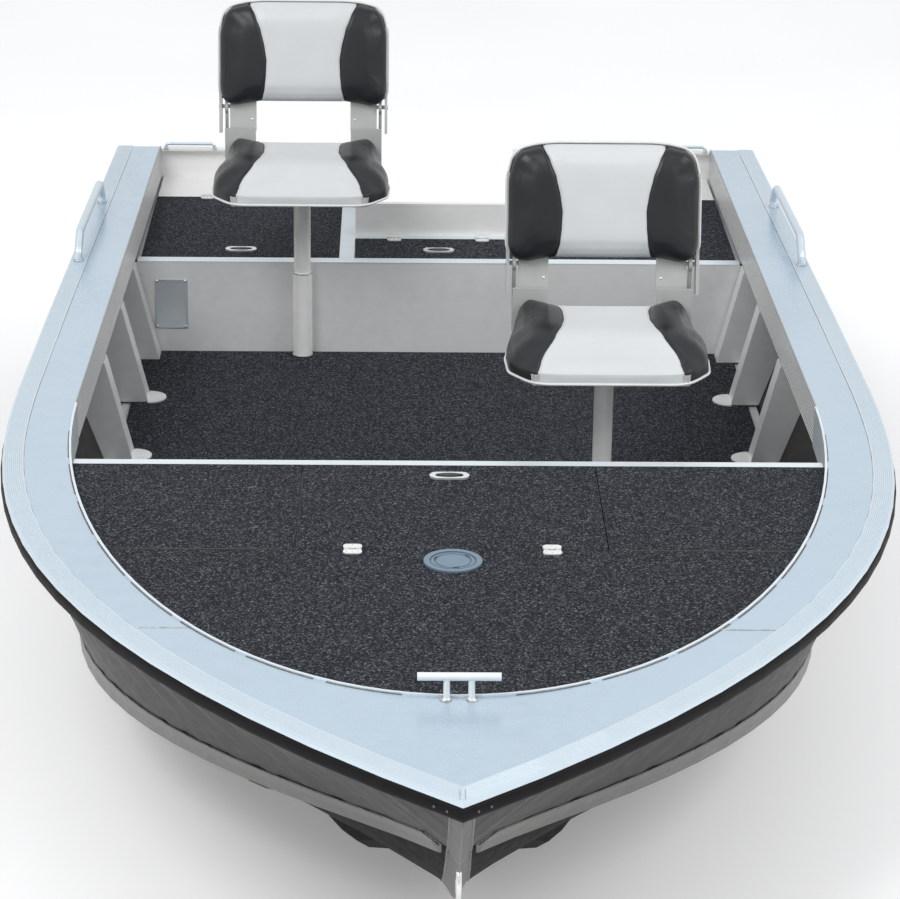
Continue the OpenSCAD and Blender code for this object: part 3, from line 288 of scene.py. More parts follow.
DECK = sheet_metal("deck_aluminium", (0.50, 0.61, 0.71), (0.42, 0.51, 0.59), 0.30, (0.05, 1, 1), 0.62, 0.3, 0.06)
RAIL = sheet_metal("rail_aluminium", (0.60, 0.69, 0.76), (0.53, 0.60, 0.65), 0.36, (1, 0.04, 1), 0.5, 0.2, 0.04)
# Coaming: painted shade in the grooves between its ten ribs
COAMING = sheet_metal("coaming_aluminium", (0.66, 0.67, 0.67), (0.56, 0.56, 0.56), 0.36, (1, 0.04, 1), 0.35, 0.3,
                      rib_shade_bands=(GUN - COAMING_H, COAMING_H / 10))
INNER = sheet_metal("inner_aluminium", (0.84, 0.85, 0.85), (0.66, 0.66, 0.65), 0.36, (0.06, 1, 1), 0.22, 0.45)
# Motor well and transom: a lighter copy of the inner aluminium, painted light on these walls
LIT_WELL = sheet_metal("well_aluminium_painted_light", (0.88, 0.88, 0.87), (0.76, 0.75, 0.73), 0.36, (0.06, 1, 1), 0.15, 0.4)
EDGE = sheet_metal("edge_white", (0.74, 0.80, 0.84), (0.66, 0.70, 0.73), 0.42, (0.05, 0.3, 1), 0.4, 0.2)
WELD = bead_metal("weld", (0.62, 0.62, 0.61), 0.36, 0.6)
DIM_WELD = bead_metal("hull_weld", (0.22, 0.22, 0.215), 0.40, 0.4)
SLOT = bead_metal("weld_slot", (0.16, 0.15, 0.14), 0.55, 0.3)
HULL = hull_paint("hull_sheet", (0.018, 0.018, 0.017), (0.034, 0.034, 0.032), 0.40, 0.1, 0.18)
# Bottom plates: the same grey hull paint made darker and duller, painted shade on the downward faces
SHADED_BOTTOM = hull_paint("hull_bottom_painted_shade", (0.006, 0.006, 0.006), (0.010, 0.010, 0.0095), 0.5, 0.0, 0.03)
CHINE = hull_paint("chine_metal", (0.13, 0.13, 0.125), (0.21, 0.21, 0.20), 0.36, 0.55)
STEM = hull_paint("stem_metal", (0.055, 0.055, 0.053), (0.085, 0.085, 0.082), 0.34, 0.35)
FENDER = rubber()
CARPET = carpet()
SHELF = carpet("shelf_top", 3.966 - LOA / 2)
CHROME = bright_steel("latch_chrome", (0.72, 0.74, 0.75), 0.20, (1, 1, 1), 0.6)
# Black plastic for the post knobs and access marks; also used for painted shade in latch recesses, carpet tucks and
# seat seams
BLACK_AND_SHADE = plastic("black_plastic_and_painted_shade", (0.014, 0.014, 0.016), 0.45, (0.03, 0.03, 0.03))
DIM = plastic("dim_screw", (0.10, 0.10, 0.10), 0.40, (0.14, 0.14, 0.14))
HINGE = plastic("hinge_white", (0.76, 0.76, 0.76), 0.38, (0.55, 0.55, 0.55))
BLUE = plastic("access_blue", (0.12, 0.19, 0.26), 0.34, (0.17, 0.24, 0.31))
CLEAT = plastic("cleat_alloy", (0.80, 0.83, 0.85), 0.34, (0.68, 0.71, 0.73), 0.2)
POST = bright_steel("post_steel", (0.93, 0.93, 0.92), 0.22, (1, 1, 0.02), 0.15)
SWIVEL = bright_steel("swivel_steel", (0.30, 0.30, 0.30), 0.40, (1, 1, 1))
EYE = bright_steel("eye_steel", (0.75, 0.75, 0.75), 0.22, (1, 1, 0.2), 0.7)
PLASTIC = plastic("seat_plastic", (0.47, 0.48, 0.475), 0.42, (0.40, 0.40, 0.395))
VINYL = vinyl("seat_vinyl", (0.62, 0.64, 0.65), 0.36, (0.57, 0.585, 0.59))
CHARCOAL = vinyl("side_vinyl", (0.0135, 0.0155, 0.018), 0.34, (0.018, 0.0205, 0.0235), 0.3)
PIPING = vinyl("piping_vinyl", (0.74, 0.75, 0.75), 0.34, (0.64, 0.64, 0.64))
PLATE = sheet_metal("plate_aluminium", (0.52, 0.56, 0.60), (0.42, 0.45, 0.48), 0.36, (0.1, 1, 1), 0.25, 0.5)

SLOT_LOOKS = {
    "rail_aluminium": RAIL, "deck_aluminium": DECK, "inner_aluminium": INNER, "hull_sheet": HULL,
    "chine_metal": CHINE, "fender_rubber": FENDER, "carpet": CARPET, "edge_white": EDGE,
    "latch_chrome": CHROME, "hinge_white": HINGE, "access_blue": BLUE, "cleat_alloy": CLEAT,
    "post_steel": POST, "swivel_steel": SWIVEL, "seat_plastic": PLASTIC, "seat_vinyl": VINYL,
    "eye_steel": EYE,
}
NODE_SLOT = {
    "rail": "rail_aluminium", "fender": "fender_rubber", "side_deck": "deck_aluminium",
    "side_plate": "hull_sheet", "bottom_plate": "hull_sheet", "chine_rail": "chine_metal",
    "bow_plate": "deck_aluminium", "deck_lip": "edge_white", "coamings": "inner_aluminium",
    "stem_bar": "chine_metal", "bow_eye": "eye_steel", "transom": "inner_aluminium",
    "motor_pads": "chine_metal", "motor_well": "inner_aluminium", "side_frames": "inner_aluminium",
    "floor_panel": "inner_aluminium", "floor_carpet": "carpet", "inner_panels": "inner_aluminium",
    "foredeck_angle": "edge_white", "foredeck": "carpet", "hatch_frame": "inner_aluminium",
    "hatch_lid": "carpet", "hatch_latch": "latch_chrome", "hatch_hinge_leaves": "hinge_white",
    "foredeck_hinge_leaves": "hinge_white", "access_plate": "access_blue", "bench_frame": "edge_white",
    "bench_shelves": "carpet", "bench_hinge_leaves": "hinge_white", "starboard_lid_leaves": "hinge_white",
    "port_lid_leaves": "hinge_white", "centre_lid_leaves": "hinge_white", "lid": "carpet",
    "latch": "latch_chrome", "cleat": "cleat_alloy", "grab_handles": "rail_aluminium",
    "rear_sleeve": "post_steel", "front_socket": "inner_aluminium", "rear_post": "post_steel",
    "front_post": "post_steel", "rear_swivel": "swivel_steel", "front_swivel": "swivel_steel",
    "rear_shell": "seat_plastic", "front_shell": "seat_plastic", "rear_back_frame": "seat_plastic",
    "front_back_frame": "seat_plastic", "rear_cushion": "seat_vinyl", "front_cushion": "seat_vinyl",
    "rear_back_cushion": "seat_vinyl", "front_back_cushion": "seat_vinyl",
}


def look_of(node):
    name = node
    for side in ("_starboard", "_port", "_centre"):
        name = name.removesuffix(side)
    # Motor well and transom take the lighter copy: painted light
    if node in ("motor_well", "transom"):
        return LIT_WELL
    if node == "bench_shelves":
        return SHELF
    # The bottom plates take the darker copy of the hull paint: painted shade
    if name == "bottom_plate":
        return SHADED_BOTTOM
    if node.startswith("coaming"):
        return COAMING
    return SLOT_LOOKS[NODE_SLOT.get(node) or NODE_SLOT[name]]


for node_name, node_object in NODES.items():
    for slot in node_object.material_slots:
        slot.link = "OBJECT"
        slot.material = look_of(node_name)


# Curves of the hull in plan
def rail_half(s):
    if s < 2.05:
        return 0.965 * (1 - max(0.0, 1 - s / 2.05) ** 2.63)
    return 0.965 - 0.04 * ((s - 2.05) / (LOA - 2.05)) ** 1.2


def edge(s, inset):
    slope = (rail_half(s + 0.001) - rail_half(s - 0.001)) / 0.002
    return rail_half(s) - inset * math.sqrt(1 + slope * slope)


def edge_start(inset):
    low, high = -0.06, 0.4
    for _ in range(30):
        mid = (low + high) / 2
        low, high = (low, mid) if edge(mid, inset) > 0 else (mid, high)
    return (low + high) / 2


def well_edge(s, out=0.0):
    if s > 1.95:
        return 0.822 - 0.025 * (s - 1.95) / (LOA - 1.95) + out
    return 0.822 * math.sqrt(max(0.0, 1 - ((1.95 - s) / 1.535) ** 2)) + out


def well_point(q, out):
    p = Vector((0.822 * math.sin(q), 1.95 - 1.535 * math.cos(q)))
    n = Vector((math.sin(q) / 0.822, -math.cos(q) / 1.535)).normalized()
    return p + out * n


def y_at(station):
    return station - LOA / 2


# Mesh helpers
def piece(name, mesh, look, body, smooth=True, looks=()):
    mesh.validate()
    obj = bpy.data.objects.new(name, mesh)
    bpy.context.scene.collection.objects.link(obj)
    for each in (look, *looks):
        mesh.materials.append(each)
    if smooth:
        mesh.polygons.foreach_set("use_smooth", [True] * len(mesh.polygons))
    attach(obj, body)
    return obj


def from_rings(verts, rings, sides, faces=None, closed=False, caps=True):
    faces = faces if faces is not None else []
    base = len(verts) - rings * sides
    for i in range(rings if closed else rings - 1):
        a, b = base + i * sides, base + (i + 1) % rings * sides
        for k in range(sides):
            n = (k + 1) % sides
            faces.append((a + k, a + n, b + n, b + k))
    if caps and not closed:
        faces.append(tuple(base + k for k in reversed(range(sides))))
        faces.append(tuple(base + (rings - 1) * sides + k for k in range(sides)))
    return faces


def tube_into(verts, faces, path, radius, sides=8, closed=False, flat=1.0):
    path = [Vector(p) for p in path]
    count = len(path)
    up = Vector((0, 0, 1))
    for i, p in enumerate(path):
        before = path[i - 1] if i or closed else path[0]
        after = path[(i + 1) % count] if i < count - 1 or closed else path[-1]
        ahead = (after - before).normalized()
        across = ahead.cross(up)
        if across.length < 0.05:
            across = ahead.cross(Vector((0, 1, 0)))
        across.normalize()
        lift = across.cross(ahead).normalized()
        r = radius(i / max(1, count - 1)) if callable(radius) else radius
        for k in range(sides):
            a = 2 * math.pi * k / sides
            verts.append(p + across * (r * math.cos(a)) + lift * (r * flat * math.sin(a)))
    return from_rings(verts, count, sides, faces, closed)


def lathe_into(verts, faces, profile, centre, axis=(0, 0, 1), segments=24, wobble=None):
    axis = Vector(axis).normalized()
    side = axis.orthogonal().normalized()
    other = axis.cross(side)
    base = len(verts)
    for r, h in profile:
        for k in range(segments):
            a = 2 * math.pi * k / segments
            verts.append(Vector(centre) + axis * h + (side * math.cos(a) + other * math.sin(a)) * r)
    for i in range(len(profile) - 1):
        for k in range(segments):
            n = (k + 1) % segments
            a, b = base + i * segments, base + (i + 1) * segments
            faces.append((a + k, a + n, b + n, b + k))
    faces.append(tuple(base + k for k in reversed(range(segments))))
    faces.append(tuple(base + (len(profile) - 1) * segments + k for k in range(segments)))
    return faces


def mesh_of(name, verts, faces):
    mesh = bpy.data.meshes.new(name)
    mesh.from_pydata([tuple(v) for v in verts], [], faces)
    work = bmesh.new()
    work.from_mesh(mesh)
    bmesh.ops.recalc_face_normals(work, faces=work.faces)
    work.to_mesh(mesh)
    work.free()
    return mesh


# Weld beads: a rippled cord laid along a seam
def bead_into(verts, faces, path, radius=0.0022, pitch=0.004):
    path = [Vector(p) for p in path]
    total = sum((b - a).length for a, b in zip(path, path[1:]))
    steps = max(6, min(260, int(total / pitch * 2)))
    out, reach, i = [], 0.0, 0
    for k in range(steps + 1):
        want = total * k / steps
        while i < len(path) - 2 and reach + (path[i + 1] - path[i]).length < want:
            reach += (path[i + 1] - path[i]).length
            i += 1
        run = (path[i + 1] - path[i]).length or 1.0
        out.append(path[i].lerp(path[i + 1], min(1.0, (want - reach) / run)))

    def swell(t):
        fade = min(1.0, t * steps / 3.0 + 0.3, (1 - t) * steps / 3.0 + 0.3)
        return radius * fade * (0.82 + 0.25 * abs(math.sin(t * steps * math.pi / 2)) + 0.06 * math.sin(t * 37.0))

    return tube_into(verts, faces, out, swell, 6, flat=0.8)


def rivet_into(verts, faces, centre, axis, r=0.004, h=0.0022):
    profile = [(r, -0.001), (r, h * 0.25), (r * 0.86, h * 0.66), (r * 0.55, h * 0.93), (r * 0.12, h)]
    return lathe_into(verts, faces, profile, centre, axis, 16)


def screw_into(verts, faces, centre, axis, r=0.0042, h=0.0018):
    profile = [(r, -0.001), (r, h * 0.3), (r * 0.8, h * 0.85), (r * 0.45, h), (r * 0.40, h * 0.45), (0.0004, h * 0.35)]
    return lathe_into(verts, faces, profile, centre, axis, 16)


# White piece of floor under the boat, with the object's own shadow on it
def stage():
    low, high = cad_box
    size, z = 60.0, low[2] - 0.001
    mesh = bpy.data.meshes.new("floor")
    mesh.from_pydata([(-size, -size, z), (size, -size, z), (size, size, z), (-size, size, z)], [], [(0, 1, 2, 3)])
    floor = bpy.data.objects.new("floor", mesh)
    bpy.context.scene.collection.objects.link(floor)
    look = Look("floor", (0.90, 0.90, 0.90), 0.9, 0.0, Specular_IOR_Level=0.2)
    cloud = look.noise(0.8, (1, 1, 1), 3.0, 0.5)
    look.put("Base Color", look.ramp(cloud, (0.3, (0.88, 0.88, 0.88)), (0.7, (0.92, 0.92, 0.92))))
    rays = look.add("ShaderNodeLightPath").outputs
    seen = look.math("MAXIMUM", rays["Is Camera Ray"], rays["Is Glossy Ray"])
    seen = look.math("MAXIMUM", seen, rays["Is Transmission Ray"])
    look.put("Emission Color", (1.0, 1.0, 1.0, 1.0))
    look.put("Emission Strength", look.math("MULTIPLY", seen, 0.22))
    mesh.materials.append(look.mat)


def world():
    space = bpy.data.worlds.new("studio")
    bpy.context.scene.world = space
    space.use_nodes = True
    tree = space.node_tree
    tree.nodes.clear()
    coord = tree.nodes.new("ShaderNodeTexCoord")
    split = tree.nodes.new("ShaderNodeSeparateXYZ")
    ramp = tree.nodes.new("ShaderNodeValToRGB")
    back = tree.nodes.new("ShaderNodeBackground")
    out = tree.nodes.new("ShaderNodeOutputWorld")
    tree.links.new(coord.outputs["Generated"], split.inputs[0])
    tree.links.new(split.outputs[2], ramp.inputs[0])
    tree.links.new(ramp.outputs[0], back.inputs[0])
    tree.links.new(back.outputs[0], out.inputs[0])
    rays = tree.nodes.new("ShaderNodeLightPath").outputs
    seen = rays["Is Camera Ray"]
    for other in ("Is Glossy Ray", "Is Transmission Ray"):
        most = tree.nodes.new("ShaderNodeMath")
        most.operation = "MAXIMUM"
        tree.links.new(seen, most.inputs[0])
        tree.links.new(rays[other], most.inputs[1])
        seen = most.outputs[0]
    level = tree.nodes.new("ShaderNodeMapRange")
    level.inputs[3].default_value = 0.72
    level.inputs[4].default_value = 1.0
    tree.links.new(seen, level.inputs[0])
    tree.links.new(level.outputs[0], back.inputs[1])
    stops = ((0.0, (0.78, 0.77, 0.76)), (0.15, (0.94, 0.94, 0.94)), (0.6, (0.98, 0.99, 1.0)), (1.0, (0.95, 0.975, 1.0)))
    while len(ramp.color_ramp.elements) < len(stops):
        ramp.color_ramp.elements.new(0.5)
    for element, (at, colour) in zip(ramp.color_ramp.elements, stops):
        element.position = at
        element.color = (*colour, 1.0)


def lamp(name, place, aim, size, power, colour=(1, 1, 1)):
    data = bpy.data.lights.new(name, "AREA")
    data.shape = "DISK"
    data.size = size
    data.energy = power
    data.color = colour
    obj = bpy.data.objects.new(name, data)
    bpy.context.scene.collection.objects.link(obj)
    obj.location = place
    obj.rotation_euler = (Vector(aim) - Vector(place)).to_track_quat("-Z", "Y").to_euler()


stage()
world()
lamp("key", (-3.5, -4.5, 6.5), (0, -0.2, 0.3), 4.0, 290.0)
lamp("fill", (5.0, -2.5, 5.0), (0, 0, 0.3), 4.0, 150.0)
bpy.context.scene.view_settings.view_transform = "Standard"


# Padded seats
def seat_plan(grow):
    w, front, back = 0.45, 0.225, 0.138
    half = [(0.38 * w, -front - grow), (0.49 * w + grow, -0.66 * front), (0.5 * w + grow, -0.25 * front),
            (0.44 * w + grow, back + grow)]
    return half


def rounded(points, radii, steps=8):
    out = []
    count = len(points)
    for i, p in enumerate(points):
        a, p, b = Vector(points[i - 1]), Vector(p), Vector(points[(i + 1) % count])
        r = radii[i]
        u, v = (a - p).normalized(), (b - p).normalized()
        half = u.angle(v) / 2
        cut = min(r / math.tan(half), (a - p).length * 0.49, (b - p).length * 0.49)
        start, end = p + u * cut, p + v * cut
        for k in range(steps + 1):
            t = k / steps
            out.append(start * (1 - t) ** 2 + p * 2 * t * (1 - t) + end * t ** 2)
    return out


def seat_outline(grow):
    half = seat_plan(grow)
    full = half + [(-x, y) for x, y in reversed(half)]
    return rounded(full, [0.075, 0.06, 0.08, 0.05, 0.05, 0.08, 0.06, 0.075])


def back_outline(grow):
    w, top, low, r = 0.223 + grow, 0.444 + grow, 0.174 - grow, 0.09
    pts = [(-w, low), (w, low), (w, 0.36), (w * 0.93, top - 0.018), (w * 0.6, top), (-w * 0.6, top),
           (-w * 0.93, top - 0.018), (-w, 0.36)]
    return rounded(pts, [0.045, 0.045, r, 0.05, 0.3, 0.3, 0.05, r])


# Crowned pad between a flat base outline and a soft face: returns local points of a closed form
def pad_mesh(name, outline, layers):
    verts, faces = [], []
    count = len(outline)
    centre = sum((Vector(p) for p in outline), Vector((0, 0))) / count
    for inset, height in layers:
        for p in outline:
            q = Vector(p)
            d = (q - centre)
            verts.append(Vector((*(centre + d * (1 - inset / d.length)), height)))
    from_rings(verts, len(layers), count, faces)
    return mesh_of(name, verts, faces)


def evened(moves, edges, rounds):
    """Moves of a mesh's points, averaged over their neighbours."""
    for _ in range(rounds):
        total, count = [m.copy() for m in moves], [1] * len(moves)
        for a, b in edges:
            total[a] += moves[b]
            total[b] += moves[a]
            count[a] += 1
            count[b] += 1
        moves = [m / n for m, n in zip(total, count)]
    return moves


def simulate(obj, pressure, cap, voxel=0.005, frames=20, keep=0.12):
    """Swell a pad with cloth pressure; no point moves further than the cap, and most creases are pulled flat."""
    for other in bpy.context.selected_objects:
        other.select_set(False)
    bpy.context.view_layer.objects.active = obj
    obj.select_set(True)
    remesh = obj.modifiers.new("even", "REMESH")
    remesh.mode = "VOXEL"
    remesh.voxel_size = voxel
    bpy.ops.object.modifier_apply(modifier=remesh.name)
    rest = [v.co.copy() for v in obj.data.vertices]
    low = min(v.z for v in rest)
    pins = obj.vertex_groups.new(name="seat")
    pins.add([i for i, v in enumerate(rest) if v.z < low + 0.006], 1.0, "REPLACE")
    cloth = obj.modifiers.new("swell", "CLOTH")
    cloth.settings.use_pressure = True
    cloth.settings.uniform_pressure_force = pressure
    cloth.settings.quality = 5
    cloth.settings.mass = 0.35
    cloth.settings.tension_stiffness = 22
    cloth.settings.compression_stiffness = 22
    cloth.settings.bending_stiffness = 1.2
    cloth.settings.vertex_group_mass = pins.name
    cloth.settings.effector_weights.gravity = 0.0
    cloth.collision_settings.use_collision = False
    scene = bpy.context.scene
    for step in range(1, frames + 1):
        scene.frame_set(step)
    done = obj.evaluated_get(bpy.context.evaluated_depsgraph_get())
    grown = [v.co.copy() for v in done.data.vertices]
    obj.modifiers.remove(cloth)
    scene.frame_set(1)
    moves = [b - a for a, b in zip(rest, grown)]
    moves = [m if m.length < cap else m.normalized() * cap for m in moves]
    flat = evened(moves, [tuple(e.vertices) for e in obj.data.edges], 30)
    for v, start, move, calm in zip(obj.data.vertices, rest, moves, flat):
        v.co = start + calm.lerp(move, keep)
    obj.vertex_groups.clear()
    obj.data.update()
    return obj


def curve_x(points, t):
    """Value along a list of (t, x) pairs, smooth between them."""
    if t <= points[0][0]:
        return points[0][1]
    for (t0, x0), (t1, x1) in zip(points, points[1:]):
        if t <= t1:
            u = (t - t0) / (t1 - t0)
            u = u * u * (3 - 2 * u) * 0.4 + u * 0.6
            return x0 + (x1 - x0) * u
    return points[-1][1]


# Seams between the pale centre panel and the charcoal sides: (distance along the pad, half width)
BACK_SEAM = [(0.170, 0.118), (0.190, 0.108), (0.214, 0.102), (0.250, 0.0985), (0.288, 0.097), (0.322, 0.102),
             (0.365, 0.112), (0.404, 0.1265), (0.434, 0.1415), (0.46, 0.155)]
SEAT_SEAM = [(-0.24, 0.1665), (-0.222, 0.1645), (-0.195, 0.156), (-0.136, 0.122), (-0.08, 0.105), (-0.032, 0.098),
             (0.03, 0.099), (0.080, 0.110), (0.118, 0.130), (0.150, 0.158), (0.175, 0.185)]


def panel_gap(x, t, seam):
    """How far a point lies outside the centre panel: negative on the pale side."""
    return abs(x) - curve_x(seam, t)


# Final pad: subdivided, with sunk seams and one material each for centre and sides
def finish_pad(obj, seam, along, depth=0.0035):
    sub = obj.modifiers.new("soft", "SUBSURF")
    sub.levels = sub.render_levels = 1
    bpy.context.view_layer.objects.active = obj
    obj.select_set(True)
    bpy.ops.object.modifier_apply(modifier=sub.name)
    mesh = obj.data
    normals = [v.normal.copy() for v in mesh.vertices]
    for v, n in zip(mesh.vertices, normals):
        gap = panel_gap(v.co.x, v.co[along], seam)
        if abs(gap) < 0.0011:
            v.co.x = math.copysign(curve_x(seam, v.co[along]), v.co.x)
            gap = 0.0
        if n.z > -0.3:
            v.co -= n * depth * math.exp(-(gap / 0.0042) ** 2)
    index = [0 if panel_gap(p.center.x, p.center[along], seam) < 0 else 1 for p in mesh.polygons]
    mesh.polygons.foreach_set("material_index", index)
    mesh.polygons.foreach_set("use_smooth", [True] * len(mesh.polygons))
    mesh.update()


def surface_line(obj, points, lift):
    """Points laid on a pad's surface from above."""
    out = []
    for x, y in points:
        hit, place, normal, _ = obj.ray_cast(Vector((x, y, 0.5)), Vector((0, 0, -1)))
        if hit:
            out.append(place + normal * lift)
    return out


def seam_points(seam, low, high, steps=70):
    return [[(side * curve_x(seam, low + (high - low) * k / steps), low + (high - low) * k / steps)
             for k in range(steps + 1)] for side in (-1, 1)]


def stitches_into(verts, faces, line, side, spacing=0.0045, length=0.003, r=0.00045):
    run, last = 0.0, line[0]
    for a, b in zip(line, line[1:]):
        seg = (b - a).length
        run += seg
        if run >= spacing:
            d = (b - a).normalized()
            tube_into(verts, faces, [b - d * length / 2, b, b + d * length / 2], r, 5)
            run = 0.0
            last = b
    return last


def make_pad_parts():
    base_seat = pad_mesh("seat_pad", seat_outline(0.0),
                         [(-0.001, 0.002), (-0.0035, 0.008), (-0.003, 0.030), (0.0, 0.046), (0.007, 0.062),
                          (0.020, 0.074), (0.045, 0.082), (0.085, 0.085)])
    base_back = pad_mesh("back_pad", back_outline(-0.0015),
                         [(0.003, 0.0008), (0.0, 0.005), (0.0, 0.016), (0.002, 0.027), (0.010, 0.036),
                          (0.026, 0.0415), (0.055, 0.044)])
    return base_seat, base_back


def droop_corners(obj):
    """Lower corners of the backrest hang a little below its middle."""
    for v in obj.data.vertices:
        out = max(0.0, min(1.0, (abs(v.co.x) - 0.10) / 0.07))
        down = max(0.0, min(1.0, (0.225 - v.co.y) / 0.05))
        v.co.y -= 0.007 * out * out * down
        v.co.y += 0.003 * (1 - out) * down


def raise_corners(obj):
    """Side and rear bolsters of the seat, and the roll of its front edge."""
    for v in obj.data.vertices:
        if v.co.z > 0.03:
            rear = max(0.0, min(1.0, (v.co.y - 0.03) / 0.10))
            out = max(0.0, min(1.0, (abs(v.co.x) - 0.095) / 0.075))
            up = max(0.0, min(1.0, (v.co.z - 0.03) / 0.04))
            v.co.z += up * (0.016 * rear * rear * out + 0.004 * out)
            v.co.y += up * rear * out * 0.026
            fall = max(0.0, min(1.0, (-v.co.y - 0.07) / 0.155))
            v.co.z -= up * fall * fall * 0.042


def seat_set():
    seat_mesh, back_mesh = make_pad_parts()
    made = {}
    for key, mesh, seam, body_cap in (("seat", seat_mesh, SEAT_SEAM, 0.012), ("back", back_mesh, BACK_SEAM, 0.009)):
        obj = bpy.data.objects.new(key + "_work", mesh)
        bpy.context.scene.collection.objects.link(obj)
        simulate(obj, 3.5, body_cap)
        if key == "seat":
            raise_corners(obj)
        else:
            droop_corners(obj)
        mesh = obj.data
        mesh.materials.append(VINYL)
        mesh.materials.append(CHARCOAL)
        finish_pad(obj, seam, 1)
        made[key] = obj
    return made


def leaning(seat):
    pivot = Vector((0, FOLD_Y, FOLD_Z))
    return (Matrix.Translation(seat) @ Matrix.Translation(pivot) @ Matrix.Rotation(-RECLINE, 4, "X")
            @ Matrix.Translation(-pivot))


def baked(source, name, turn, body, look=None):
    mesh = source.copy() if isinstance(source, bpy.types.Mesh) else source.data.copy()
    mesh.name = name
    mesh.transform(turn)
    if turn.determinant() < 0:
        mesh.flip_normals()
    obj = bpy.data.objects.new(name, mesh)
    bpy.context.scene.collection.objects.link(obj)
    if look:
        mesh.materials.append(look)
        mesh.polygons.foreach_set("use_smooth", [True] * len(mesh.polygons))
    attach(obj, body)
    return obj


# The back pad's own frame: x across, y up the back, z out of its front face
def back_turn(seat):
    flat = Matrix(((1, 0, 0, 0), (0, 0, -1, FOLD_Y - 0.0043), (0, 1, 0, 0), (0, 0, 0, 1)))
    return leaning(seat) @ flat


def piping_into(verts, faces, outline, height, r):
    """Welt round a pad's foot; on the backrest it hides behind the lower roll."""
    low = min(p[1] for p in outline)
    tuck = 0.012 if low > 0 else 0.0
    path = [Vector((p[0], p[1] + tuck * max(0.0, 1 - (p[1] - low) / 0.02), height)) for p in outline]
    clean = [p for i, p in enumerate(path) if (p - path[i - 1]).length > 0.0015]
    return tube_into(verts, faces, clean, r, 10, closed=True)


def make_seats():
    pads = seat_set()
    parts = {}
    for key, outline, seam, low, high, pipe_z in (
            ("seat", seat_outline(0.0050), SEAT_SEAM, -0.222, 0.172, 0.006),
            ("back", back_outline(0.0008), BACK_SEAM, 0.166, 0.440, 0.003)):
        v, f = [], []
        piping_into(v, f, outline, pipe_z, 0.0032)
        parts[key, "piping"] = mesh_of(key + "_piping", v, f)
        # Seam lines: a dark tube laid in each sunk seam, painted shade in its groove
        v, f = [], []
        for line in seam_points(seam, low, high):
            on = surface_line(pads[key], line, 0.0002)
            if len(on) > 3:
                tube_into(v, f, on, 0.0011, 6)
        parts[key, "seam"] = mesh_of(key + "_seam", v, f)
        v, f = [], []
        for inset in (-0.0045,):
            shifted = [(t, x + inset) for t, x in seam]
            for line in seam_points(shifted, low + 0.006, high - 0.006, 150):
                on = surface_line(pads[key], line, 0.0001)
                if len(on) > 3:
                    stitches_into(v, f, on, 0)
        parts[key, "stitch"] = mesh_of(key + "_stitch", v, f)
    for side, seat, seat_body, back_body in (("rear", REAR_SEAT, "rear_seat", "rear_back"),
                                             ("front", FRONT_SEAT, "front_seat", "front_back")):
        for key, turn, body, node in (("seat", Matrix.Translation(seat), seat_body, side + "_cushion"),
                                      ("back", back_turn(seat), back_body, side + "_back_cushion")):
            pad = baked(pads[key], f"{side}_{key}_pad", turn, body)
            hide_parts(node)
            baked(parts[key, "piping"], f"{side}_{key}_piping", turn, body, PIPING)
            # The seam tubes are painted shade
            baked(parts[key, "seam"], f"{side}_{key}_seam", turn, body, BLACK_AND_SHADE)
            baked(parts[key, "stitch"], f"{side}_{key}_stitch", turn, body, PIPING)
    for pad in pads.values():
        bpy.data.objects.remove(pad)


make_seats()


# Small fasteners, plates and beads are gathered per body and look, then made as one piece each
class Gather:
    def __init__(self, name, look, body, slot):
        self.name, self.look, self.body, self.slot = name, look, body, slot
        self.verts, self.faces = [], []

    def make(self):
        if self.faces:
            piece(self.name, mesh_of(self.name, self.verts, self.faces), self.look, self.body)


# Welds along the deck plates and outside the lip, and the joint lines along the rails
def deck_welds():
    beads = Gather("deck_welds", WELD, "hull", "deck_aluminium")
    slots = Gather("lip_slots", SLOT, "hull", "deck_aluminium")
    for k in (-1, 1):
        a = Vector((k * well_edge(0.71, 0.006), y_at(0.712), GUN + 0.0002))
        b = Vector((k * (edge(0.71, RAIL_W)), y_at(0.712), GUN + 0.0002))
        bead_into(beads.verts, beads.faces, [a, b], 0.0016, 0.006)
        # Stitched welds outside the lip: long dark runs with short gaps
        q, angles = math.radians(7), []
        while q < math.radians(80):
            step = math.radians(9.5) * (0.55 + 0.45 * math.cos(q))
            angles.append((q, q + step))
            q += step + math.radians(1.7)
        for q0, q1 in angles:
            line = []
            for i in range(9):
                p = well_point(q0 + (q1 - q0) * i / 8, 0.0062)
                line.append((k * p.x, p.y - LOA / 2, GUN + 0.0003))
            tube_into(slots.verts, slots.faces, line, 0.0011, 6)
    joints = Gather("rail_joints", SLOT, "hull", "rail_aluminium")
    for k in (-1, 1):
        line = [(k * edge(s, RAIL_W + 0.0002), y_at(s), GUN + 0.0002) for s in (0.72 + 0.058 * i for i in range(60))]
        tube_into(joints.verts, joints.faces, line, 0.0008, 6)
    for each in (beads, slots, joints):
        each.make()


deck_welds()


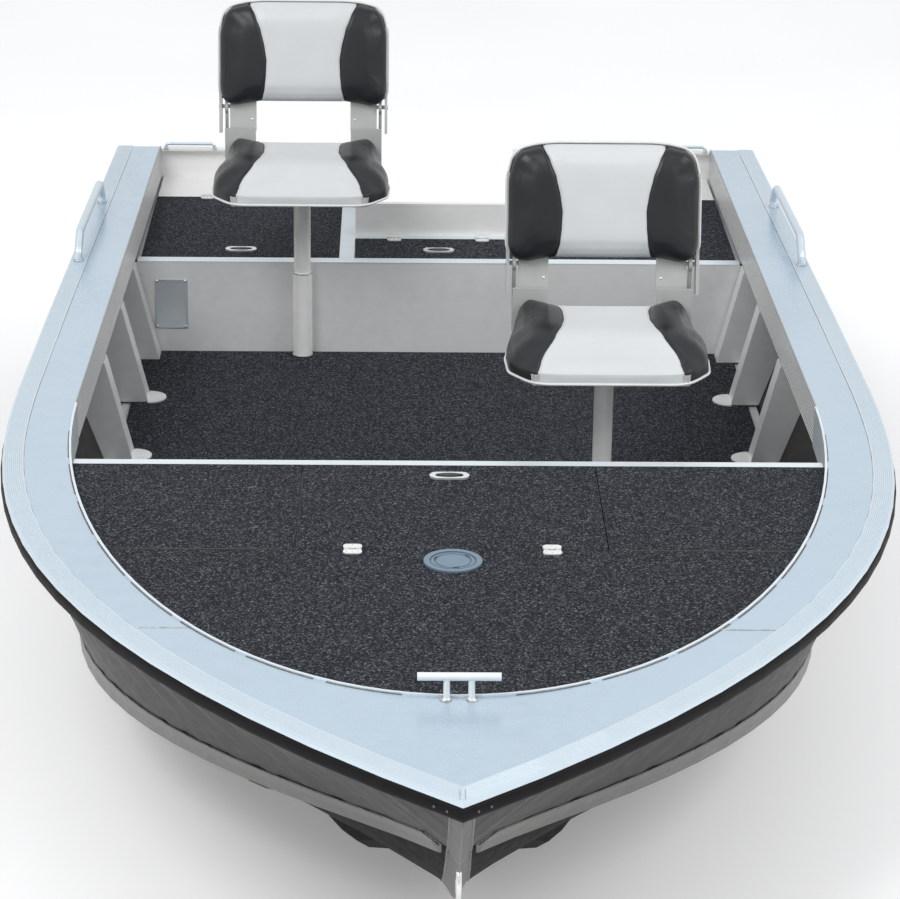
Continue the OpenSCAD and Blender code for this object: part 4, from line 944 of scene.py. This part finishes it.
# Latches: a flat dark oval of painted shade over the recess with a pull, and four screws each
def latch_details(node, body):
    low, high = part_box(node)
    mid = (low + high) / 2
    top = high.z
    recess_shade = Gather(node + "_recess", BLACK_AND_SHADE, body, "latch_chrome")
    steel = Gather(node + "_screws", CHROME, body, "latch_chrome")
    length = high.x - low.x
    ring = []
    a, b = length * 0.33, (high.y - low.y) * 0.33
    for z, scale in ((top + 0.0004, 1.0), (top - 0.0002, 0.96), (top - 0.0002, 0.02)):
        ring += [Vector((mid.x + a * scale * math.cos(t), mid.y + b * scale * math.sin(t), z))
                 for t in (2 * math.pi * k / 40 for k in range(40))]
    recess_shade.verts.extend(ring)
    from_rings(recess_shade.verts, 3, 40, recess_shade.faces)
    recess_shade.make()
    for x in (-1, 1):
        for y in (-1, 1):
            screw_into(steel.verts, steel.faces, (mid.x + x * length * 0.40, mid.y + y * (high.y - low.y) * 0.33, top),
                       (0, 0, 1), 0.0026, 0.0012)
    steel.make()


for latch_node, latch_body in (("hatch_latch", "hatch"), ("latch_starboard", "locker_lid_starboard"),
                               ("latch_port", "locker_lid_port"), ("latch_centre", "locker_lid_centre")):
    latch_details(latch_node, latch_body)

# Surfaces of the hull, for the stem cap and the welds
def keel_at(s):
    return -0.12 if s >= 1.2 else GUN - 0.62 * (1 - (1 - s / 1.2) ** 2.12)


def chine_at(s):
    u = min(1.0, max(0.0, (s - 0.215) / 1.835))
    return GUN - 0.205 - 0.215 * (1 - (1 - u) ** 2)


def chine_half(s):
    u = min(1.0, max(0.0, (s - 0.215) / 1.6))
    return 0.006 + 0.789 * (1 - (1 - u) ** 2.2) ** 1.35


def side_point(s, up, out):
    low = Vector((0.0063, keel_at(s))) if s < 0.215 else Vector((chine_half(s) + 0.0003, chine_at(s)))
    high = Vector((edge(s, 0.0123), GUN - 0.0043))
    u = (high - low).normalized()
    return low + up * u + out * Vector((u.y, -u.x))


def breadth(s, z):
    """Half breadth of the hull's outside at a station and height."""
    if s >= 0.215 and z < chine_at(s):
        a, b = Vector((0.006, keel_at(s))), Vector((chine_half(s), chine_at(s)))
    else:
        a = Vector((0.0063, keel_at(s))) if s < 0.215 else Vector((chine_half(s), chine_at(s)))
        b = Vector((edge(s, 0.0123), GUN - 0.0043))
    t = (z - a.y) / (b.y - a.y)
    return a.x + (b.x - a.x) * t


def stem_at(z):
    return 1.2 * (1 - (1 - (GUN - z) / 0.62) ** (1 / 2.12))


def side_station(z, half):
    low = stem_at(z)
    high = low + 0.5
    for _ in range(30):
        mid = (low + high) / 2
        low, high = (mid, high) if breadth(mid, z) < half else (low, mid)
    return (low + high) / 2


def stem_details():
    verts, faces, rings = [], [], 0
    left, right = [], []
    for i in range(26):
        z = 0.458 - 0.43 * i / 25
        s = stem_at(z)
        slope = (keel_at(s + 0.002) - keel_at(s - 0.002)) / 0.004
        reach = 0.0205 * math.sqrt(1 + slope * slope) / abs(slope)
        half = 0.019 + 0.004 * max(0.0, (0.30 - z) / 0.27)
        tail = side_station(z, half)
        nose, run = s - reach, tail - (s - reach)
        side = [(0.0, 0.0), (0.0030, 0.04), (0.0068, 0.18), (0.0105, 0.42), (half - 0.001, 0.96), (half + 0.0022, 1.0)]
        outer = [(x, y_at(nose + run * f)) for x, f in side]
        back = [(half - 0.002, y_at(tail + 0.006)), (0.0, y_at(s))]
        ring = [(-x, y) for x, y in reversed(outer[1:])] + outer + back + [(-back[0][0], back[0][1])]
        verts.extend(Vector((x, y, z)) for x, y in ring)
        rings += 1
        if z < 0.448:
            left.append(Vector((-half - 0.0015, y_at(tail + 0.001), z)))
            right.append(Vector((half + 0.0015, y_at(tail + 0.001), z)))
    from_rings(verts, rings, len(ring), faces)
    piece("stem_cap", mesh_of("stem_cap", verts, faces), STEM, "hull", smooth=False)
    beads = Gather("stem_welds", DIM_WELD, "hull", "chine_metal")
    for line in (left, right):
        bead_into(beads.verts, beads.faces, line, 0.0019, 0.005)
    # Stitches along the top of each chine rail, and the welds that close its forward end
    for k in (-1, 1):
        s = 0.29
        while s < 1.9:
            line = []
            for i in range(4):
                q = side_point(s + 0.009 * i, 0.0392, 0.0016)
                line.append((k * q.x, y_at(s + 0.009 * i), q.y))
            bead_into(beads.verts, beads.faces, line, 0.0016, 0.005)
            s += 0.055 + 0.02 * s
        for up in (0.004, 0.014, 0.026, 0.036):
            q = side_point(0.2685, up, 0.004)
            r = side_point(0.2695, up + 0.012, 0.003)
            bead_into(beads.verts, beads.faces, [(k * q.x, y_at(0.2675), q.y), (k * r.x, y_at(0.268), r.y)], 0.0027, 0.005)
    beads.make()
    dots = Gather("fender_screws", DIM, "hull", "fender_rubber")
    for k in (-1, 1):
        for s in (0.016, 0.034):
            x, slope = edge(s, -0.0042), (rail_half(s + 0.001) - rail_half(s - 0.001)) / 0.002
            screw_into(dots.verts, dots.faces, (k * x, y_at(s), GUN - 0.024), (k, -slope, 0.0), 0.0024, 0.0006)
    dots.make()
    # Painted highlight: a thin line of the lighter chine metal down the nose of the dark stem cap
    nose_highlight = Gather("stem_nose_highlight", CHINE, "hull", "chine_metal")
    line = []
    for i in range(24):
        z = 0.452 - 0.41 * i / 23
        s = stem_at(z)
        slope = (keel_at(s + 0.002) - keel_at(s - 0.002)) / 0.004
        line.append((0.0, y_at(s - 0.0205 * math.sqrt(1 + slope * slope) / abs(slope)) - 0.0002, z))
    tube_into(nose_highlight.verts, nose_highlight.faces, line, 0.0010, 6)
    nose_highlight.make()
    tips = Gather("mitre_welds", WELD, "hull", "rail_aluminium")
    for x in (-0.0055, 0.0045):
        bead_into(tips.verts, tips.faces, [(x, y_at(abs(x) * 0.9 + 0.004), GUN + 0.0012),
                                           (x, y_at(0.052), GUN + 0.0012)], 0.0007, 0.004)
    tips.make()


stem_details()


# Seams where the foredeck's carpet is tucked in beside the hatch hinge: a flat dark strip of painted shade in each tuck
def carpet_seam_shade():
    tuck_shade = Gather("carpet_seam_shade", BLACK_AND_SHADE, "hull", "carpet")
    reach = well_edge(1.128) - 0.012
    for k in (-1, 1):
        tube_into(tuck_shade.verts, tuck_shade.faces, [(k * x, y_at(1.129), DECK_Z + 0.0001) for x in (0.335, 0.5, reach)],
                  0.0026, 8, flat=0.25)
    tuck_shade.make()


carpet_seam_shade()


def ring_bead(verts, faces, centre, radius, r=0.0024, waves=16):
    steps = waves * 3
    loop = [Vector(centre) + Vector((math.cos(a), math.sin(a), 0)) * radius
            for a in (2 * math.pi * i / steps for i in range(steps))]
    return tube_into(verts, faces, loop, lambda t: r * (0.86 + 0.2 * abs(math.sin(t * waves * math.pi))), 6, True, 0.9)


def fittings():
    beads = Gather("fitting_welds", WELD, "hull", "cleat_alloy")
    top = GUN + 0.001
    for k in (-1, 1):
        for s in (3.05, 3.595):
            ring_bead(beads.verts, beads.faces, (k * edge(s, 0.0225), y_at(s), top + 0.0012), 0.0112, 0.0026, 18)
        ring_bead(beads.verts, beads.faces, (k * 0.0235, y_at(0.401), GUN + 0.001), 0.0092, 0.0022, 14)
        for x in (0.642, 0.782):
            ring_bead(beads.verts, beads.faces, (k * x, y_at(4.17), GUN + 0.001), 0.0056, 0.0016, 10)
    for node in ("rear_sleeve",):
        low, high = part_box(node)
        mid = (low + high) / 2
        for z in (high.z - 0.0015, low.z + 0.002):
            ring_bead(beads.verts, beads.faces, (mid.x, mid.y, z), (high.x - low.x) / 2, 0.0022, 30)
    beads.make()
    plate = Gather("blank_plate", PLATE, "hull", "inner_aluminium")
    rivets = Gather("plate_rivets", CHROME, "hull", "inner_aluminium")
    y = y_at(BENCH_AT) - 0.0004
    x0, x1, z0, z1, r = -0.758, -0.670, 0.2225, 0.361, 0.005
    outline = rounded([(x0, z0), (x1, z0), (x1, z1), (x0, z1)], [r, r, r, r], 5)
    for depth, inset in ((0.0, 0.0), (0.0009, 0.0), (0.0014, 0.0006), (0.0014, 0.004), (0.0010, 0.0048)):
        for p in outline:
            cx, cz = (x0 + x1) / 2, (z0 + z1) / 2
            plate.verts.append(Vector((p.x - math.copysign(inset, p.x - cx), y - depth, p.y - math.copysign(inset, p.y - cz))))
    from_rings(plate.verts, 5, len(outline), plate.faces)
    for x in (x0 + 0.006, x1 - 0.006):
        for z in (z0 + 0.006, z1 - 0.006):
            rivet_into(rivets.verts, rivets.faces, (x, y - 0.0010, z), (0, -1, 0), 0.0042, 0.0022)
    plate.make()
    rivets.make()


fittings()


# Screws in the hinge leaves: hinge centres by station, with the body that each leaf rides on
def hinge_screws():
    sets = {"hull": Gather("hull_hinge_screws", CHROME, "hull", "hinge_white")}
    hinges = [(x, 1.128, DECK_Z, 1, "hatch") for x in (-0.198, 0.198)]
    hinges += [(x, 3.5707, BENCH_Z, -1, "locker_lid_centre") for x in (-0.12, 0.12)]
    for k, body in ((-1, "locker_lid_starboard"), (1, "locker_lid_port")):
        low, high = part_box("lid_starboard" if k < 0 else "lid_port")
        hinges += [((low.x + high.x) / 2 + x, 3.981, BENCH_Z, -1, body) for x in (-0.12, 0.12)]
    for x, s, z, ahead, body in hinges:
        if body not in sets:
            sets[body] = Gather(body + "_hinge_screws", CHROME, body, "hinge_white")
        for side in (-1, 1):
            own = sets[body if side == ahead else "hull"]
            for dx in (-0.0115, 0.0, 0.0115):
                at = (x + dx, y_at(s) + side * (0.0145 + 0.003 * (dx == 0)), z + 0.0027)
                screw_into(own.verts, own.faces, at, (0, 0, 1), 0.0021, 0.0007)
    for own in sets.values():
        own.make()


hinge_screws()


# Seat hardware: a clamp knob on each post's collar, rivets on the arms, caps on the back hinges and bolts under the
# swivels
def seat_hardware():
    for side, seat, seat_body, back_body in (("rear", REAR_SEAT, "rear_seat", "rear_back"),
                                             ("front", FRONT_SEAT, "front_seat", "front_back")):
        rivets = Gather(side + "_arm_rivets", CHROME, back_body, "seat_plastic")
        turn = leaning(seat)
        for k in (-1, 1):
            at = turn @ Vector((k * 0.136, FOLD_Y - 0.004, 0.131))
            axis = turn.to_3x3() @ Vector((0, -1, 0))
            rivet_into(rivets.verts, rivets.faces, at, axis, 0.0036, 0.0016)
        rivets.make()
        pins = Gather(side + "_hinge_caps", CHROME, back_body, "seat_plastic")
        for k in (-1, 1):
            rivet_into(pins.verts, pins.faces, turn @ Vector((k * 0.2228, FOLD_Y, FOLD_Z)), (k, 0, 0), 0.007, 0.0025)
        pins.make()
        screws = Gather(side + "_swivel_bolts", CHROME, seat_body, "swivel_steel")
        for x in (-0.07, 0.07):
            for y in (-0.07, 0.07):
                screw_into(screws.verts, screws.faces, seat + Vector((x, y, -0.0044)), (0, 0, -1), 0.0055, 0.0024)
        screws.make()
        knob = Gather(side + "_post_knob", BLACK_AND_SHADE, "hull", "post_steel")
        centre = seat + Vector((0.03, 0.0, -0.036))
        lathe_into(knob.verts, knob.faces, [(0.003, -0.012), (0.003, 0.004), (0.009, 0.005), (0.0115, 0.008),
                                            (0.0115, 0.017), (0.009, 0.020), (0.002, 0.0205)],
                   centre, (1, 0, 0), 20)
        knob.make()


seat_hardware()


# Raised marks and finger notches on the round access plate
def access_details():
    low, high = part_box("access_plate")
    mid = (low + high) / 2
    marks = Gather("access_marks", BLACK_AND_SHADE, "hull", "access_blue")
    for a in (0.5, 2.6, 4.7):
        arc = [Vector((mid.x + 0.037 * math.cos(a + 0.12 * i), mid.y + 0.037 * math.sin(a + 0.12 * i), high.z + 0.0001))
               for i in range(4)]
        tube_into(marks.verts, marks.faces, arc, 0.0011, 6, flat=0.5)
    rim = [Vector((mid.x + 0.0455 * math.cos(a), mid.y + 0.0455 * math.sin(a), high.z - 0.0004))
           for a in (2 * math.pi * i / 72 for i in range(72))]
    tube_into(marks.verts, marks.faces, rim, 0.0009, 6, True)
    marks.make()


access_details()
